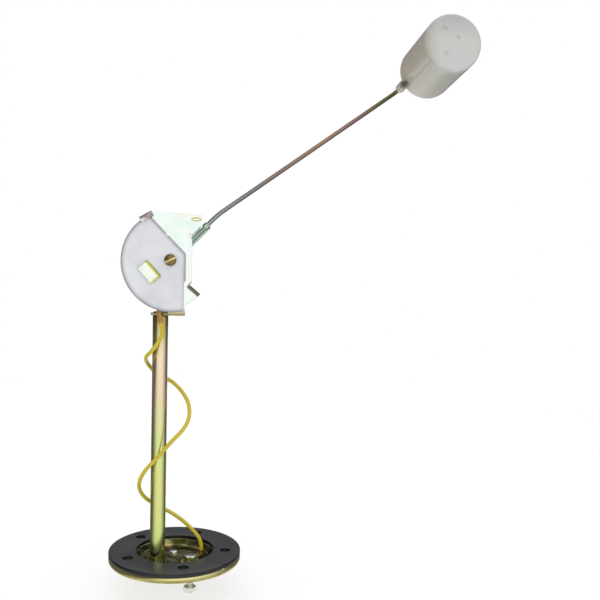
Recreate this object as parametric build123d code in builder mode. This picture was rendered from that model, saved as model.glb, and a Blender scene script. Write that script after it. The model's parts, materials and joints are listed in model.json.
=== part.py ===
from build123d import *
import os
from math import acos, atan2, cos, degrees, pi, radians, sin, tan

# Lever type fuel level sender, in millimetres.
# Origin: centre of the gasket's sealing face, which is clamped to the tank.
# +Z runs along the stem into the tank, +X to the float's side, -Y to the face
# with the white sector plate.

# Flange, gasket and bolt holes
bolt_pcd = 54.0
bolt_count = 5
bolt_hole_r = 2.75
bolt_phase = -9.0
bolt_to_edge = 8.0
bolt_to_bore = 6.5
gasket_t = 1.8
gasket_notch_r = 1.3
gasket_notch_angle = -43.4
plate_t = 1.6
rim_h = 3.0
rim_bend_r = 1.8
dish_depth = 3.0
dish_ledge_w = 0.5
dish_slope_w = 1.3

# Stem tube, brazed on the dish floor and rolled over in the bracket
stem_angle = 221.3
stem_foot_to_dish = 1.38
stem_r = 4.0
stem_wall = 0.8
stem_top = 125.5
stem_foot_r = 5.2
stem_foot_h = 1.1
stem_neck_r = 2.9
stem_lip_r = 3.7
stem_lip_h = 0.7

# Depths are distances in front of the X-Z plane, so a larger one is nearer the viewer
sheet_t = 1.2
sheet_back = 14.3
sector_t = 2.0
fit_gap = 0.05
seat_gap = 0.1
air_gap = 0.3

# Pivot, and the sector plate, whose round edge has its centre a little to the right of it
pivot_x = -4.4
pivot_z = 153.6
sector_r = 25.8
sector_centre_x = 1.1
sector_centre_z = -0.5
sector_tip_angle = 117.4
sector_right_x = 7.8
sector_lower_x = 7.0
sector_step_z = -11.1
sector_vertex_z = 3.3
sector_edge_r = 0.9
sector_tip_r = 1.0
sector_vertex_r = 1.2
sector_nick_x = -1.3
sector_nick_z = 13.1
sector_nick_r = 0.9

# Float arm: angle of its inner run, and the sweep between the two stops
arm_angle = 46.0
arm_sweep = 86.0
wire_r = 1.15
wire_offset = -0.5
wire_start = 5.4
wire_bend_at = 34.0
wire_bend_r = 30.0
wire_end_bend_r = 3.0
float_pin_x = 121.9
float_pin_y = 9.8
float_pin_z = 254.4
float_tilt = 4.0
wire_back_at = 7.2
wire_tip_at = -5.0

# Lever, bush, pin and what holds them
lever_t = 1.0
lever_low = -2.7
lever_high = -0.1
lever_reach = 26.6
lever_hub_r = 6.0
lever_tail = 11.6
lever_tail_w = 5.0
crimp_t = 0.6
crimp_len = 2.4
crimp_inner_at = 8.6
bush_r = 3.4
bush_shoulder_r = 4.7
bush_shoulder_t = 1.2
bush_swage_r = 4.1
bush_swage_t = 0.6
bush_tail = 1.45
pin_r = 2.0
pin_head_r = 3.0
pin_head_t = 1.6
pin_slot_w = 0.9
pin_slot_d = 0.8
pin_slot_angle = 27.0
pin_chamfer = 0.3
pin_tail = 1.0
groove_r = 1.5
clip_t = 0.6
clip_r = 3.6
clip_mouth = 2.6
wave_t = 0.3
wave_r = 3.3
wave_h = 0.5

# Wiper blade, its rivets and contact
blade_t = 0.4
blade_gap = 0.5
blade_w = 4.0
blade_tip_w = 2.6
blade_tip_h = 4.4
rivet_r = 0.8
rivet_head_r = 1.3
rivet_head_t = 0.5
rivet_places = (7.6, 10.2)
contact_r = 1.1
contact_t = 0.55
contact_edge_r = 0.3
contact_gap = 0.35

# Resistance strip standing on the back of the sector plate
former_r = 22.3
former_t = 0.8
former_h = 6.9
former_start_angle = 131.5
former_end_angle = 239.0
former_foot_angle = 3.2
former_foot_slack_angle = 0.2
former_foot_h = 1.0
former_lift = 0.6
winding_t = 0.6
winding_margin_angle = 3.6

# Stops, clamping tabs and windows of the bracket
stop_start = 15.5
stop_end = 22.6
stop_gap = 0.3
stop_past_lever = 1.05
strip_x = 10.9
wing_right = 16.2
wing_top = 23.2
wing_slot_x = 12.8
wing_slot_z = 21.0
wing_slot_l = 3.6
wing_slot_w = 0.9
relief_x = 9.9
relief_z = 12.9
relief_r = 0.9
tip_tab_angle = 121.0
tip_tab_w = 7.0
tip_lip = 1.6
tip_strip_in = 17.0
face_tab_angle = -47.8
face_tab_along = -2.36
face_tab_away = 8.93
face_tab_w = 10.1
face_tab_h = 6.2
tab_corner_r = 0.8
tab_bend_r = 0.9
ledge_bend_left_x = -5.4
ledge_right_x = 3.4
ledge_beside_stem = 4.9
ledge_behind_stem = 5.6
ledge_before_stem = 3.9
ledge_left_h = 6.5
ledge_right_h = 5.2
ledge_bend_r = 1.1

# Float, hung from the end of the arm wire: lengths run back from the middle of its lug's bore
float_r = 15.0
float_front_at = -39.8
float_back_at = 3.2
float_wall = 1.2
float_edge_r = 2.5
float_cap_h = 3.2
float_spigot_h = 3.0
float_lug_out = 2.2
float_lug_angle = 33.0
float_lug_r = 2.5
float_lug_l = 6.0
float_web_w = 3.8
float_bore_gap = 0.08
mould_mark_r = 1.2
mould_mark_d = 0.25
mould_marks = ((-5.3, 6.3), (1.5, 1.8), (-4.5, -6.7))
push_clip_r = 2.0
push_clip_t = 0.6

# Signal terminal through the flange
terminal_angle = -46.4
insulator_to_dish = 2.16
terminal_r = 1.75
terminal_flats = 6.0
terminal_head_t = 2.4
terminal_end = -20.6
terminal_chamfer = 0.4
insulator_r = 4.8
insulator_top_t = 1.2
insulator_low_t = 1.6
insulator_neck_r = 2.9
washer_r = 3.6
washer_t = 0.6
spring_washer_r = 3.1
spring_washer_t = 0.8
spring_washer_slit = 0.5
nut_t = 2.8
outer_nut_gap = 4.9
solder_tag_t = 0.6
solder_tag_w = 3.0
solder_cup_r = 1.4

# Earth rivet and its blade under the flange
earth_x = -0.8
earth_y = 7.5
earth_head_r = 2.4
earth_head_t = 1.1
earth_head_edge_r = 0.9
earth_swage_r = 2.2
earth_swage_t = 0.8
earth_shank_r = 1.5
earth_blade_w = 6.3
earth_blade_t = 0.8
earth_blade_l = 8.0
earth_blade_drop = 7.5
earth_blade_back = 3.4
earth_bend_r = 1.0

# Signal lead: a stiffish 2 mm wire wound loosely round the stem
lead_r = 1.0
sleeve_r = 1.3
winding_tag_t = 0.5
winding_tag_w = 3.0
sleeve_length = 9.0
arc_share = 0.45
lead_route = [
    (-9.0, -13.9, 121.8), (-8.5, -14.05, 117.5), (-10.5, -15.5, 111.5), (-14.0, -14.0, 106.5),
    (-16.5, -9.5, 103.0), (-15.5, -3.0, 98.5), (-10.5, 0.5, 93.5), (-3.0, 0.0, 90.5),
    (3.0, -4.0, 85.0), (6.5, -8.5, 79.0), (6.5, -12.5, 72.0), (3.0, -15.5, 66.5),
    (-3.0, -17.0, 61.0), (-9.5, -17.0, 53.0), (-16.0, -14.0, 46.0), (-19.5, -9.5, 38.0),
    (-18.0, -4.0, 30.5), (-11.0, -0.5, 24.0), (-3.0, 0.5, 20.0), (4.5, 1.0, 14.5),
    (10.5, 1.0, 8.5), (14.2, 1.2, 3.0), (14.2, 1.2, -1.4),
]

# Radii, levels, places and depths worked out from the sizes above
flange_r = bolt_pcd / 2 + bolt_to_edge
gasket_bore_r = bolt_pcd / 2 - bolt_to_bore
dish_mouth_r = gasket_bore_r - dish_ledge_w
dish_floor_r = dish_mouth_r - dish_slope_w
stem_place_r = dish_floor_r - stem_foot_r - stem_foot_to_dish
stem_x = stem_place_r * cos(radians(stem_angle))
stem_y = stem_place_r * sin(radians(stem_angle))
terminal_place_r = dish_floor_r - insulator_r - insulator_to_dish
terminal_x = terminal_place_r * cos(radians(terminal_angle))
terminal_y = terminal_place_r * sin(radians(terminal_angle))
plate_top = -gasket_t
rim_low = plate_top - rim_h
floor_top = plate_top - dish_depth
floor_low = floor_top - plate_t
sheet_front = sheet_back + sheet_t
face_front = sheet_front + sector_t
crimp_r = wire_r + fit_gap + crimp_t
wire_depth = sheet_back - air_gap - crimp_r
lever_front = wire_depth - wire_r
lever_back = lever_front - lever_t
stop_back = lever_back - stop_past_lever
bush_back = lever_back - bush_swage_t - bush_tail
crimp_outer_at = lever_reach - crimp_len / 2
pin_end = bush_back - wave_h - clip_t - pin_tail
clip_front = bush_back - wave_h
former_front = sheet_front - former_lift
former_back = former_front - former_h
ledge_low = stem_top
ledge_top = ledge_low + sheet_t
ledge_left_x = stem_x - ledge_beside_stem
ledge_back_y = stem_y + ledge_behind_stem
ledge_front_y = stem_y - ledge_before_stem
blade_bend_at = former_r - winding_t - contact_gap - contact_t
float_lug_offset = float_r + float_lug_out
along_arm = (cos(radians(arm_angle)), 0, sin(radians(arm_angle)))


def face_plane(depth, angle=0.0, x=pivot_x, z=pivot_z):
    """A plane facing the viewer, with its x axis turned by an angle from +X towards +Z."""
    along = (cos(radians(angle)), 0, sin(radians(angle)))
    return Plane(origin=(x, -depth, z), x_dir=along, z_dir=(0, -1, 0))


def float_plane(back, angle=0.0, x=0.0, z=0.0):
    """A plane facing the viewer in the float's tilted frame, at a distance back from its lug's middle."""
    tilt_cos = cos(radians(float_tilt))
    tilt_sin = sin(radians(float_tilt))
    middle = Vector(float_pin_x, float_pin_y, float_pin_z)
    place = middle + Vector(x, back * tilt_cos + z * tilt_sin, z * tilt_cos - back * tilt_sin)
    up = sin(radians(angle))
    along = (cos(radians(angle)), up * tilt_sin, up * tilt_cos)
    return Plane(origin=place, x_dir=along, z_dir=(0, -tilt_cos, tilt_sin))


def upright_plane(x, y):
    """An X-Z plane through a vertical axis, for turned profiles."""
    return Plane(origin=(x, y, 0), x_dir=(1, 0, 0), z_dir=(0, -1, 0))


def turned(points, x, y):
    """Adds a solid turned about the vertical axis at x, y from (radius, height) points."""
    with BuildSketch(upright_plane(x, y)) as profile:
        with BuildLine():
            Polyline(*points, close=True)
        make_face()
    revolve(profile.sketch, axis=Axis((x, y, 0), (0, 0, 1)))


def disc(x, y, low, high, radius, hole=0.0):
    """Adds a round plate between two heights, with a hole if one is given."""
    with BuildSketch(Plane.XY.offset(low)) as outline:
        with Locations((x, y)):
            Circle(radius)
            if hole > 0:
                Circle(hole, mode=Mode.SUBTRACT)
    extrude(outline.sketch, amount=high - low)


def arc_band(inner, outer, start, end):
    """A face between two arcs about the sketch's origin, on the open sketch."""
    with BuildLine() as outline:
        low = CenterArc((0, 0), inner, start, end - start)
        high = CenterArc((0, 0), outer, start, end - start)
        Line(low @ 0, high @ 0)
        Line(low @ 1, high @ 1)
    make_face(outline.edges())


def box_on(plane, x_range, y_range, depth, mode=Mode.ADD):
    """Adds or cuts a block drawn on a plane, from its x and y ranges, as thick as depth."""
    with BuildSketch(plane) as outline:
        with Locations(((x_range[0] + x_range[1]) / 2, (y_range[0] + y_range[1]) / 2)):
            Rectangle(x_range[1] - x_range[0], y_range[1] - y_range[0])
    extrude(outline.sketch, amount=depth, mode=mode)


def on_plane(plane, x, y, out=0.0):
    """The place in the model of a point drawn on a plane."""
    return plane.from_local_coords((x, y, out))


# Flange plate: pressed sheet with a dished middle and a turned-down rim
with BuildPart() as flange_plate:
    with BuildSketch(upright_plane(0, 0)):
        with BuildLine():
            Polyline(
                (0, floor_top), (dish_floor_r, floor_top), (dish_mouth_r, plate_top),
                (flange_r, plate_top), (flange_r, rim_low), (flange_r - plate_t, rim_low),
                (flange_r - plate_t, plate_top - plate_t), (dish_mouth_r + plate_t, plate_top - plate_t),
                (dish_floor_r + plate_t, floor_low), (0, floor_low), close=True,
            )
        make_face()
        corner = vertices().sort_by_distance((flange_r, 0, plate_top))[0]
        fillet(corner, rim_bend_r)
    revolve(axis=Axis.Z)
    with BuildSketch(Plane.XY.offset(plate_top)):
        with PolarLocations(bolt_pcd / 2, bolt_count, start_angle=bolt_phase):
            Circle(bolt_hole_r)
    extrude(amount=-plate_t, mode=Mode.SUBTRACT)
    with BuildSketch(Plane.XY.offset(floor_top)):
        with Locations((terminal_x, terminal_y)):
            Circle(insulator_neck_r + fit_gap)
        with Locations((earth_x, earth_y)):
            Circle(earth_shank_r + fit_gap)
    extrude(amount=-plate_t, mode=Mode.SUBTRACT)
flange_plate.part.label = "flange_plate"

# Gasket: flat rubber ring with the bolt holes and a locating notch in its edge
with BuildPart() as flange_gasket:
    with BuildSketch(Plane.XY.offset(plate_top)):
        Circle(flange_r)
        Circle(gasket_bore_r, mode=Mode.SUBTRACT)
        with PolarLocations(bolt_pcd / 2, bolt_count, start_angle=bolt_phase):
            Circle(bolt_hole_r, mode=Mode.SUBTRACT)
        with PolarLocations(flange_r, 1, start_angle=gasket_notch_angle):
            Circle(gasket_notch_r, mode=Mode.SUBTRACT)
    extrude(amount=gasket_t)
flange_gasket.part.label = "flange_gasket"

# Stem: tube with an upset foot, and a neck rolled over on the bracket's ledge
with BuildPart() as stem_tube:
    bore_r = stem_r - stem_wall
    neck_bore_r = stem_neck_r - stem_wall
    lip_top = ledge_top + stem_lip_h
    turned(
        [
            (bore_r, floor_top), (stem_foot_r, floor_top), (stem_foot_r, floor_top + stem_foot_h / 2),
            (stem_r, floor_top + stem_foot_h), (stem_r, stem_top), (stem_neck_r, stem_top),
            (stem_neck_r, ledge_top), (stem_lip_r, ledge_top), (stem_lip_r, lip_top),
            (neck_bore_r, lip_top), (neck_bore_r, stem_top - stem_wall), (bore_r, stem_top - 2 * stem_wall),
        ],
        stem_x, stem_y,
    )
stem_tube.part.label = "stem_tube"

# Bracket: one folded sheet with the wing, ledge, two stops and two clamping tabs
tip_plane = face_plane(sheet_back, tip_tab_angle, pivot_x + sector_centre_x, pivot_z + sector_centre_z)
tip_leg_in = sector_r + seat_gap
tip_out = tip_leg_in + sheet_t
tab_plane = face_plane(sheet_back, face_tab_angle)
upper_stop = wire_offset + wire_r + stop_gap
lower_stop = lever_low - stop_gap
tab_x = (face_tab_along - face_tab_w / 2, face_tab_along + face_tab_w / 2)
tab_low = -face_tab_away - face_tab_h
leg_far = -face_tab_away - sheet_t


def to_sheet(angle, x, y):
    """Turns a point on a turned face plane into the untilted sketch of the sheet."""
    turn_cos = cos(radians(angle))
    turn_sin = sin(radians(angle))
    return (x * turn_cos - y * turn_sin, x * turn_sin + y * turn_cos)


def to_tip(x, y):
    """Turns a point on the tip tab's plane into the untilted sketch of the sheet."""
    sheet_x, sheet_y = to_sheet(tip_tab_angle, x, y)
    return (sheet_x + sector_centre_x, sheet_y + sector_centre_z)


with BuildPart() as bracket:
    low_angle = arm_angle - arm_sweep
    with BuildSketch(face_plane(sheet_back)):
        with BuildLine():
            Polyline(
                to_tip(tip_out, -tip_tab_w / 2), (wing_right, wing_top),
                to_sheet(arm_angle, stop_end, upper_stop), to_sheet(arm_angle, stop_start, upper_stop),
                (strip_x, upper_stop + stop_start * sin(radians(arm_angle)) - sheet_t),
                (strip_x, sector_step_z + seat_gap), to_sheet(low_angle, stop_start, lower_stop),
                to_sheet(low_angle, stop_end, lower_stop),
                to_sheet(low_angle, stop_end, lower_stop - 2 * sheet_t),
                (ledge_right_x - pivot_x, ledge_low - pivot_z + ledge_right_h),
                (ledge_right_x - pivot_x, ledge_low - pivot_z),
                (ledge_bend_left_x - pivot_x, ledge_low - pivot_z),
                (ledge_bend_left_x - pivot_x, ledge_low - pivot_z + ledge_left_h),
                to_sheet(face_tab_angle, tab_x[1], leg_far), to_sheet(face_tab_angle, tab_x[0], leg_far),
                to_tip(tip_strip_in, tip_tab_w / 2),
                to_tip(tip_out, tip_tab_w / 2),
                close=True,
            )
        make_face()
    extrude(amount=sheet_t)
    # Ledge that the stem is rolled into, folded back from the foot of the sheet
    ledge_plane = Plane.XY.offset(ledge_low)
    box_on(ledge_plane, (ledge_bend_left_x, ledge_right_x), (-sheet_front, ledge_front_y), sheet_t)
    box_on(ledge_plane, (ledge_left_x, ledge_right_x), (ledge_front_y, ledge_back_y), sheet_t)
    with BuildSketch(Plane.XY.offset(ledge_low)):
        with Locations((stem_x, stem_y)):
            Circle(stem_neck_r + fit_gap)
    extrude(amount=sheet_t, mode=Mode.SUBTRACT)
    # Stops, folded back along the edges that the arm meets
    stop_depth = stop_back - sheet_front
    front_rest = face_plane(sheet_front, arm_angle)
    front_end = face_plane(sheet_front, arm_angle - arm_sweep)
    box_on(front_rest, (stop_start, stop_end), (upper_stop, upper_stop + sheet_t), stop_depth)
    box_on(front_end, (stop_start, stop_end), (lower_stop - sheet_t, lower_stop), stop_depth)
    # Tab over the tip of the sector plate
    tip_y = (-tip_tab_w / 2, tip_tab_w / 2)
    tab_leg_l = face_front + sheet_t - sheet_back
    box_on(tip_plane, (tip_leg_in, tip_out), tip_y, tab_leg_l)
    tip_lip_plane = tip_plane.offset(face_front - sheet_back)
    box_on(tip_lip_plane, (tip_leg_in - tip_lip, tip_out), tip_y, sheet_t)
    # Tab through the slot, folded flat over the face
    box_on(tab_plane, tab_x, (leg_far, -face_tab_away), tab_leg_l)
    box_on(face_plane(face_front, face_tab_angle), tab_x, (tab_low, -face_tab_away), sheet_t)
    # Hole for the pin, and the small slot near the wing's corner
    with BuildSketch(face_plane(sheet_back)):
        Circle(pin_r + fit_gap)
        with Locations((wing_slot_x, wing_slot_z)):
            SlotOverall(wing_slot_l, wing_slot_w)
        with Locations((relief_x, relief_z)):
            Circle(relief_r)
    extrude(amount=sheet_t, mode=Mode.SUBTRACT)
    # Outer bend radii
    stop_middle = (stop_start + stop_end) / 2
    tab_front = face_front + sheet_t
    bends = [
        (on_plane(face_plane(tab_front, face_tab_angle), face_tab_along, -face_tab_away), tab_bend_r),
        (on_plane(tip_plane.offset(tab_front - sheet_back), tip_out, 0), tab_bend_r),
        (on_plane(front_rest, stop_middle, upper_stop), tab_bend_r),
        (on_plane(front_end, stop_middle, lower_stop), tab_bend_r),
        (Vector((ledge_bend_left_x + ledge_right_x) / 2, -sheet_front, ledge_low), ledge_bend_r),
    ]
    for place, radius in bends:
        fillet(edges().sort_by_distance(place)[0], radius)
    for corner_x in tab_x:
        place = on_plane(face_plane(face_front + sheet_t / 2, face_tab_angle), corner_x, tab_low)
        fillet(edges().sort_by_distance(place)[0], tab_corner_r)
bracket.part.label = "bracket"

# Sector plate: white moulding clamped on the bracket, carrying the resistance strip
sector_end_x = sector_lower_x - sector_centre_x
sector_end_angle = 360 - degrees(acos(sector_end_x / sector_r))
with BuildPart() as sector_plate:
    with BuildSketch(face_plane(sheet_front)):
        with BuildLine():
            rim_centre = (sector_centre_x, sector_centre_z)
            rim = CenterArc(rim_centre, sector_r, sector_tip_angle, sector_end_angle - sector_tip_angle)
            Polyline(
                rim @ 1, (sector_lower_x, sector_step_z),
                (sector_right_x, sector_step_z + sector_right_x - sector_lower_x),
                (sector_right_x, sector_vertex_z), rim @ 0,
            )
        make_face()
        tip = vertices().sort_by(Axis.Y)[-1]
        fillet(tip, sector_tip_r)
        vertex = vertices().sort_by_distance((sector_right_x, sector_vertex_z, 0))[0]
        fillet(vertex, sector_vertex_r)
    extrude(amount=sector_t)
    front_rim = faces().sort_by(Axis.Y)[0].edges()
    fillet(front_rim, sector_edge_r)
    with BuildSketch(face_plane(sheet_front)):
        Circle(pin_r + fit_gap)
        with Locations((sector_nick_x, sector_nick_z)):
            Circle(sector_nick_r)
    extrude(amount=sector_t, mode=Mode.SUBTRACT)
    slot_x = (tab_x[0] - 2 * seat_gap, tab_x[1] + 2 * seat_gap)
    slot_y = (leg_far - 2 * seat_gap, -face_tab_away + 2 * seat_gap)
    box_on(face_plane(sheet_front, face_tab_angle), slot_x, slot_y, sector_t, Mode.SUBTRACT)
    for start in (former_start_angle, former_end_angle - former_foot_angle):
        with BuildSketch(face_plane(sheet_front)):
            arc_band(
                former_r - fit_gap, former_r + former_t + fit_gap,
                start - former_foot_slack_angle, start + former_foot_angle + former_foot_slack_angle,
            )
        extrude(amount=former_foot_h + fit_gap, mode=Mode.SUBTRACT)
sector_plate.part.label = "sector_plate"

# Former: thin insulating strip bent to an arc, with a foot at each end
with BuildPart() as resistor_former:
    with BuildSketch(face_plane(former_back)):
        arc_band(former_r, former_r + former_t, former_start_angle, former_end_angle)
    extrude(amount=former_h)
    for start in (former_start_angle, former_end_angle - former_foot_angle):
        with BuildSketch(face_plane(former_front)):
            arc_band(former_r, former_r + former_t, start, start + former_foot_angle)
        extrude(amount=former_lift + former_foot_h)
resistor_former.part.label = "resistor_former"

# Winding: the resistance wire's turns, as one sleeve round the former
with BuildPart() as resistance_winding:
    winding_start = former_start_angle + winding_margin_angle
    winding_end = former_end_angle - winding_margin_angle
    with BuildSketch(face_plane(former_back - winding_t + seat_gap)):
        arc_band(former_r - winding_t, former_r + former_t + winding_t, winding_start, winding_end)
    extrude(amount=former_h + 2 * winding_t - 2 * seat_gap)
    with BuildSketch(face_plane(former_back - fit_gap)):
        arc_band(former_r - fit_gap, former_r + former_t + fit_gap, winding_start, winding_end)
    extrude(amount=former_h + 2 * fit_gap, mode=Mode.SUBTRACT)
resistance_winding.part.label = "resistance_winding"

# Tag from the end of the winding to the lead's sleeve
lead_points = [Vector(*point) for point in lead_route]
sleeve_axis = (lead_points[1] - lead_points[0]).normalized()
sleeve_top = lead_points[0] - sleeve_axis * sleeve_length
tag_depth = -sleeve_top.Y - winding_tag_t / 2
tag_from_r = former_r - winding_t - seat_gap - winding_tag_w / 2
tag_from = to_sheet(former_end_angle - former_foot_angle / 2, tag_from_r, 0)
tag_to = (sleeve_top.X - pivot_x, sleeve_top.Z - pivot_z + winding_tag_w / 2)
tag_run = Vector(tag_to[0] - tag_from[0], tag_to[1] - tag_from[1])
winding_tag_angle = degrees(atan2(tag_run.Y, tag_run.X))
with BuildPart() as winding_tag:
    with BuildSketch(face_plane(tag_depth)):
        tag_middle = ((tag_from[0] + tag_to[0]) / 2, (tag_from[1] + tag_to[1]) / 2)
        with Locations(Location(tag_middle, winding_tag_angle)):
            SlotCenterToCenter(tag_run.length, winding_tag_w)
    extrude(amount=winding_tag_t)
winding_tag.part.label = "winding_tag"

# Sleeve over the joint of the tag and the lead
with BuildPart() as lead_sleeve:
    with BuildSketch(Plane(origin=sleeve_top, z_dir=sleeve_axis)):
        Circle(sleeve_r)
    extrude(amount=sleeve_length)
lead_sleeve.part.label = "lead_sleeve"

# Signal lead: straight runs joined by the largest arcs that they allow
lead_radii = []
for before, here, after in zip(lead_points, lead_points[1:], lead_points[2:]):
    turn = (here - before).get_angle(after - here)
    shorter = min((here - before).length, (after - here).length)
    lead_radii.append(arc_share * shorter / tan(radians(turn / 2)))
with BuildPart() as signal_lead:
    with BuildLine() as lead_path:
        FilletPolyline(*lead_route, radius=lead_radii)
    with BuildSketch(Plane(origin=lead_route[0], z_dir=lead_points[1] - lead_points[0])):
        Circle(lead_r)
    sweep(path=lead_path.wires()[0])
signal_lead.part.label = "signal_lead"
lead_length = lead_path.wires()[0].length
volume_ratio = signal_lead.part.volume / (pi * lead_r**2 * lead_length)
print("lead radii, mm:", [round(radius, 1) for radius in lead_radii])
print("lead length, mm:", round(lead_length, 1))
print("lead volume over its section times its length:", round(volume_ratio, 4))

# Pivot pin: slotted brass head in front, a groove for the clip behind
with BuildPart() as pivot_pin:
    with BuildSketch(face_plane(pin_end)):
        Circle(pin_r)
    extrude(amount=face_front - pin_end)
    with BuildSketch(face_plane(face_front)):
        Circle(pin_head_r)
    extrude(amount=pin_head_t)
    chamfer(edges().filter_by(GeomType.CIRCLE).sort_by(Axis.Y)[0], pin_chamfer)
    box_on(
        face_plane(face_front + pin_head_t - pin_slot_d, pin_slot_angle),
        (-pin_head_r, pin_head_r), (-pin_slot_w / 2, pin_slot_w / 2), pin_slot_d, Mode.SUBTRACT,
    )
    with BuildSketch(face_plane(clip_front - clip_t - fit_gap)):
        Circle(pin_r + fit_gap)
        Circle(groove_r, mode=Mode.SUBTRACT)
    extrude(amount=clip_t + fit_gap, mode=Mode.SUBTRACT)
pivot_pin.part.label = "pivot_pin"

# Retaining clip, open on one side, in the pin's groove
with BuildPart() as pivot_clip:
    with BuildSketch(face_plane(clip_front - clip_t)):
        Circle(clip_r)
        Circle(groove_r + fit_gap, mode=Mode.SUBTRACT)
        with Locations((0, -clip_r)):
            Rectangle(clip_mouth, 2 * clip_r, mode=Mode.SUBTRACT)
    extrude(amount=clip_t)
pivot_clip.part.label = "pivot_clip"

# Coned spring washer that gives the arm its drag
with BuildPart() as drag_washer:
    cone_plane = Plane(origin=(pivot_x, 0, pivot_z), x_dir=(1, 0, 0), z_dir=(0, 0, 1))
    with BuildSketch(cone_plane):
        with BuildLine():
            Polyline(
                (pin_r + seat_gap, -bush_back + fit_gap), (wave_r, -clip_front - wave_t),
                (wave_r, -clip_front), (pin_r + seat_gap, -bush_back + fit_gap + wave_t), close=True,
            )
        make_face()
    revolve(axis=Axis((pivot_x, 0, pivot_z), (0, 1, 0)))
drag_washer.part.label = "drag_washer"

# Bush: turned brass, shouldered in front of the lever and swaged behind it
with BuildPart() as hub_bush:
    bush_front = sheet_back - 2 * seat_gap
    for low, high, radius in (
        (bush_back, bush_front, bush_r),
        (lever_front, lever_front + bush_shoulder_t, bush_shoulder_r),
        (lever_back - bush_swage_t, lever_back, bush_swage_r),
    ):
        with BuildSketch(face_plane(low)):
            Circle(radius)
        extrude(amount=high - low)
    with BuildSketch(face_plane(bush_back)):
        Circle(pin_r + fit_gap)
    extrude(amount=bush_front - bush_back, mode=Mode.SUBTRACT)
hub_bush.part.label = "hub_bush"

# Lever: pressed strip behind the wire, with two crimps round it and a tail for the blade
with BuildPart() as arm_lever:
    with BuildSketch(face_plane(lever_back, arm_angle)):
        Circle(lever_hub_r)
        with Locations((lever_reach / 2, (lever_low + lever_high) / 2)):
            Rectangle(lever_reach, lever_high - lever_low)
        with Locations((-lever_tail / 2, 0)):
            Rectangle(lever_tail, lever_tail_w)
    extrude(amount=lever_t)
    for place in (crimp_inner_at, crimp_outer_at):
        start = on_plane(face_plane(wire_depth, arm_angle), place - crimp_len / 2, wire_offset)
        with BuildSketch(Plane(origin=start, x_dir=(0, -1, 0), z_dir=along_arm)):
            Circle(crimp_r)
            with Locations((-(wire_r + lever_t / 2), 0)):
                Rectangle(lever_t, 2 * crimp_r)
        extrude(amount=crimp_len)
    wire_start_place = on_plane(face_plane(wire_depth, arm_angle), 0, wire_offset)
    with BuildSketch(Plane(origin=wire_start_place, x_dir=(0, -1, 0), z_dir=along_arm)):
        Circle(wire_r + fit_gap)
    extrude(amount=lever_reach + crimp_len, mode=Mode.SUBTRACT)
    with BuildSketch(face_plane(lever_back, arm_angle)):
        Circle(bush_r + fit_gap)
        with Locations([(-place, 0) for place in rivet_places]):
            Circle(rivet_r + fit_gap)
    extrude(amount=lever_t, mode=Mode.SUBTRACT)
arm_lever.part.label = "arm_lever"

# Arm wire: out along the lever, bent once, then across behind the float and into its lug
wire_plane = face_plane(wire_depth, arm_angle)
wire_points = [
    on_plane(wire_plane, wire_start, wire_offset),
    on_plane(wire_plane, wire_bend_at, wire_offset),
    float_plane(wire_back_at).origin,
    float_plane(wire_tip_at).origin,
]
with BuildPart() as arm_wire:
    with BuildLine() as wire_path:
        FilletPolyline(*wire_points, radius=[wire_bend_r, wire_end_bend_r])
    with BuildSketch(Plane(origin=wire_points[0], z_dir=wire_points[1] - wire_points[0])):
        Circle(wire_r)
    sweep(path=wire_path.wires()[0])
arm_wire.part.label = "arm_wire"

# Wiper blade: spring strip riveted to the lever's tail, its tip turned up towards the winding
blade_start = bush_shoulder_r + blade_gap
with BuildPart() as wiper_blade:
    with BuildSketch(face_plane(lever_front, arm_angle)):
        with BuildLine():
            Polyline(
                (-blade_start, blade_w / 2), (-lever_tail, blade_w / 2),
                (-blade_bend_at, blade_tip_w / 2), (-blade_bend_at, -blade_tip_w / 2),
                (-lever_tail, -blade_w / 2), (-blade_start, -blade_w / 2), close=True,
            )
        make_face()
    extrude(amount=blade_t)
    box_on(
        face_plane(lever_front - blade_tip_h / 2, arm_angle), (-blade_bend_at, -blade_bend_at + blade_t),
        (-blade_tip_w / 2, blade_tip_w / 2), blade_tip_h,
    )
    with BuildSketch(face_plane(lever_front, arm_angle)):
        with Locations([(-place, 0) for place in rivet_places]):
            Circle(rivet_r + fit_gap)
    extrude(amount=blade_t, mode=Mode.SUBTRACT)
wiper_blade.part.label = "wiper_blade"

# Two rivets through the lever's tail and the blade
with BuildPart() as blade_rivets:
    for place in rivet_places:
        for low, high, radius in (
            (lever_back, lever_front + blade_t, rivet_r),
            (lever_front + blade_t, lever_front + blade_t + rivet_head_t, rivet_head_r),
            (lever_back - rivet_head_t, lever_back, rivet_head_r),
        ):
            with BuildSketch(face_plane(low, arm_angle)):
                with Locations((-place, 0)):
                    Circle(radius)
            extrude(amount=high - low)
blade_rivets.part.label = "blade_rivets"

# Contact button on the outer side of the blade's tip
with BuildPart() as wiper_contact:
    contact_centre = on_plane(face_plane(lever_front, arm_angle), -blade_bend_at, 0)
    outward = -Vector(*along_arm)
    with BuildSketch(Plane(origin=contact_centre, z_dir=outward)):
        Circle(contact_r)
    extrude(amount=contact_t)
    contact_face = contact_centre + outward * contact_t
    fillet(edges().filter_by(GeomType.CIRCLE).sort_by_distance(contact_face)[0], contact_edge_r)
wiper_contact.part.label = "wiper_contact"

# Push-on clip that keeps the float on the wire
with BuildPart() as float_clip:
    clip_at = -float_lug_l / 2 - air_gap
    with BuildSketch(float_plane(clip_at)):
        Circle(push_clip_r)
        Circle(wire_r + fit_gap, mode=Mode.SUBTRACT)
    extrude(amount=push_clip_t)
float_clip.part.label = "float_clip"

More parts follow.
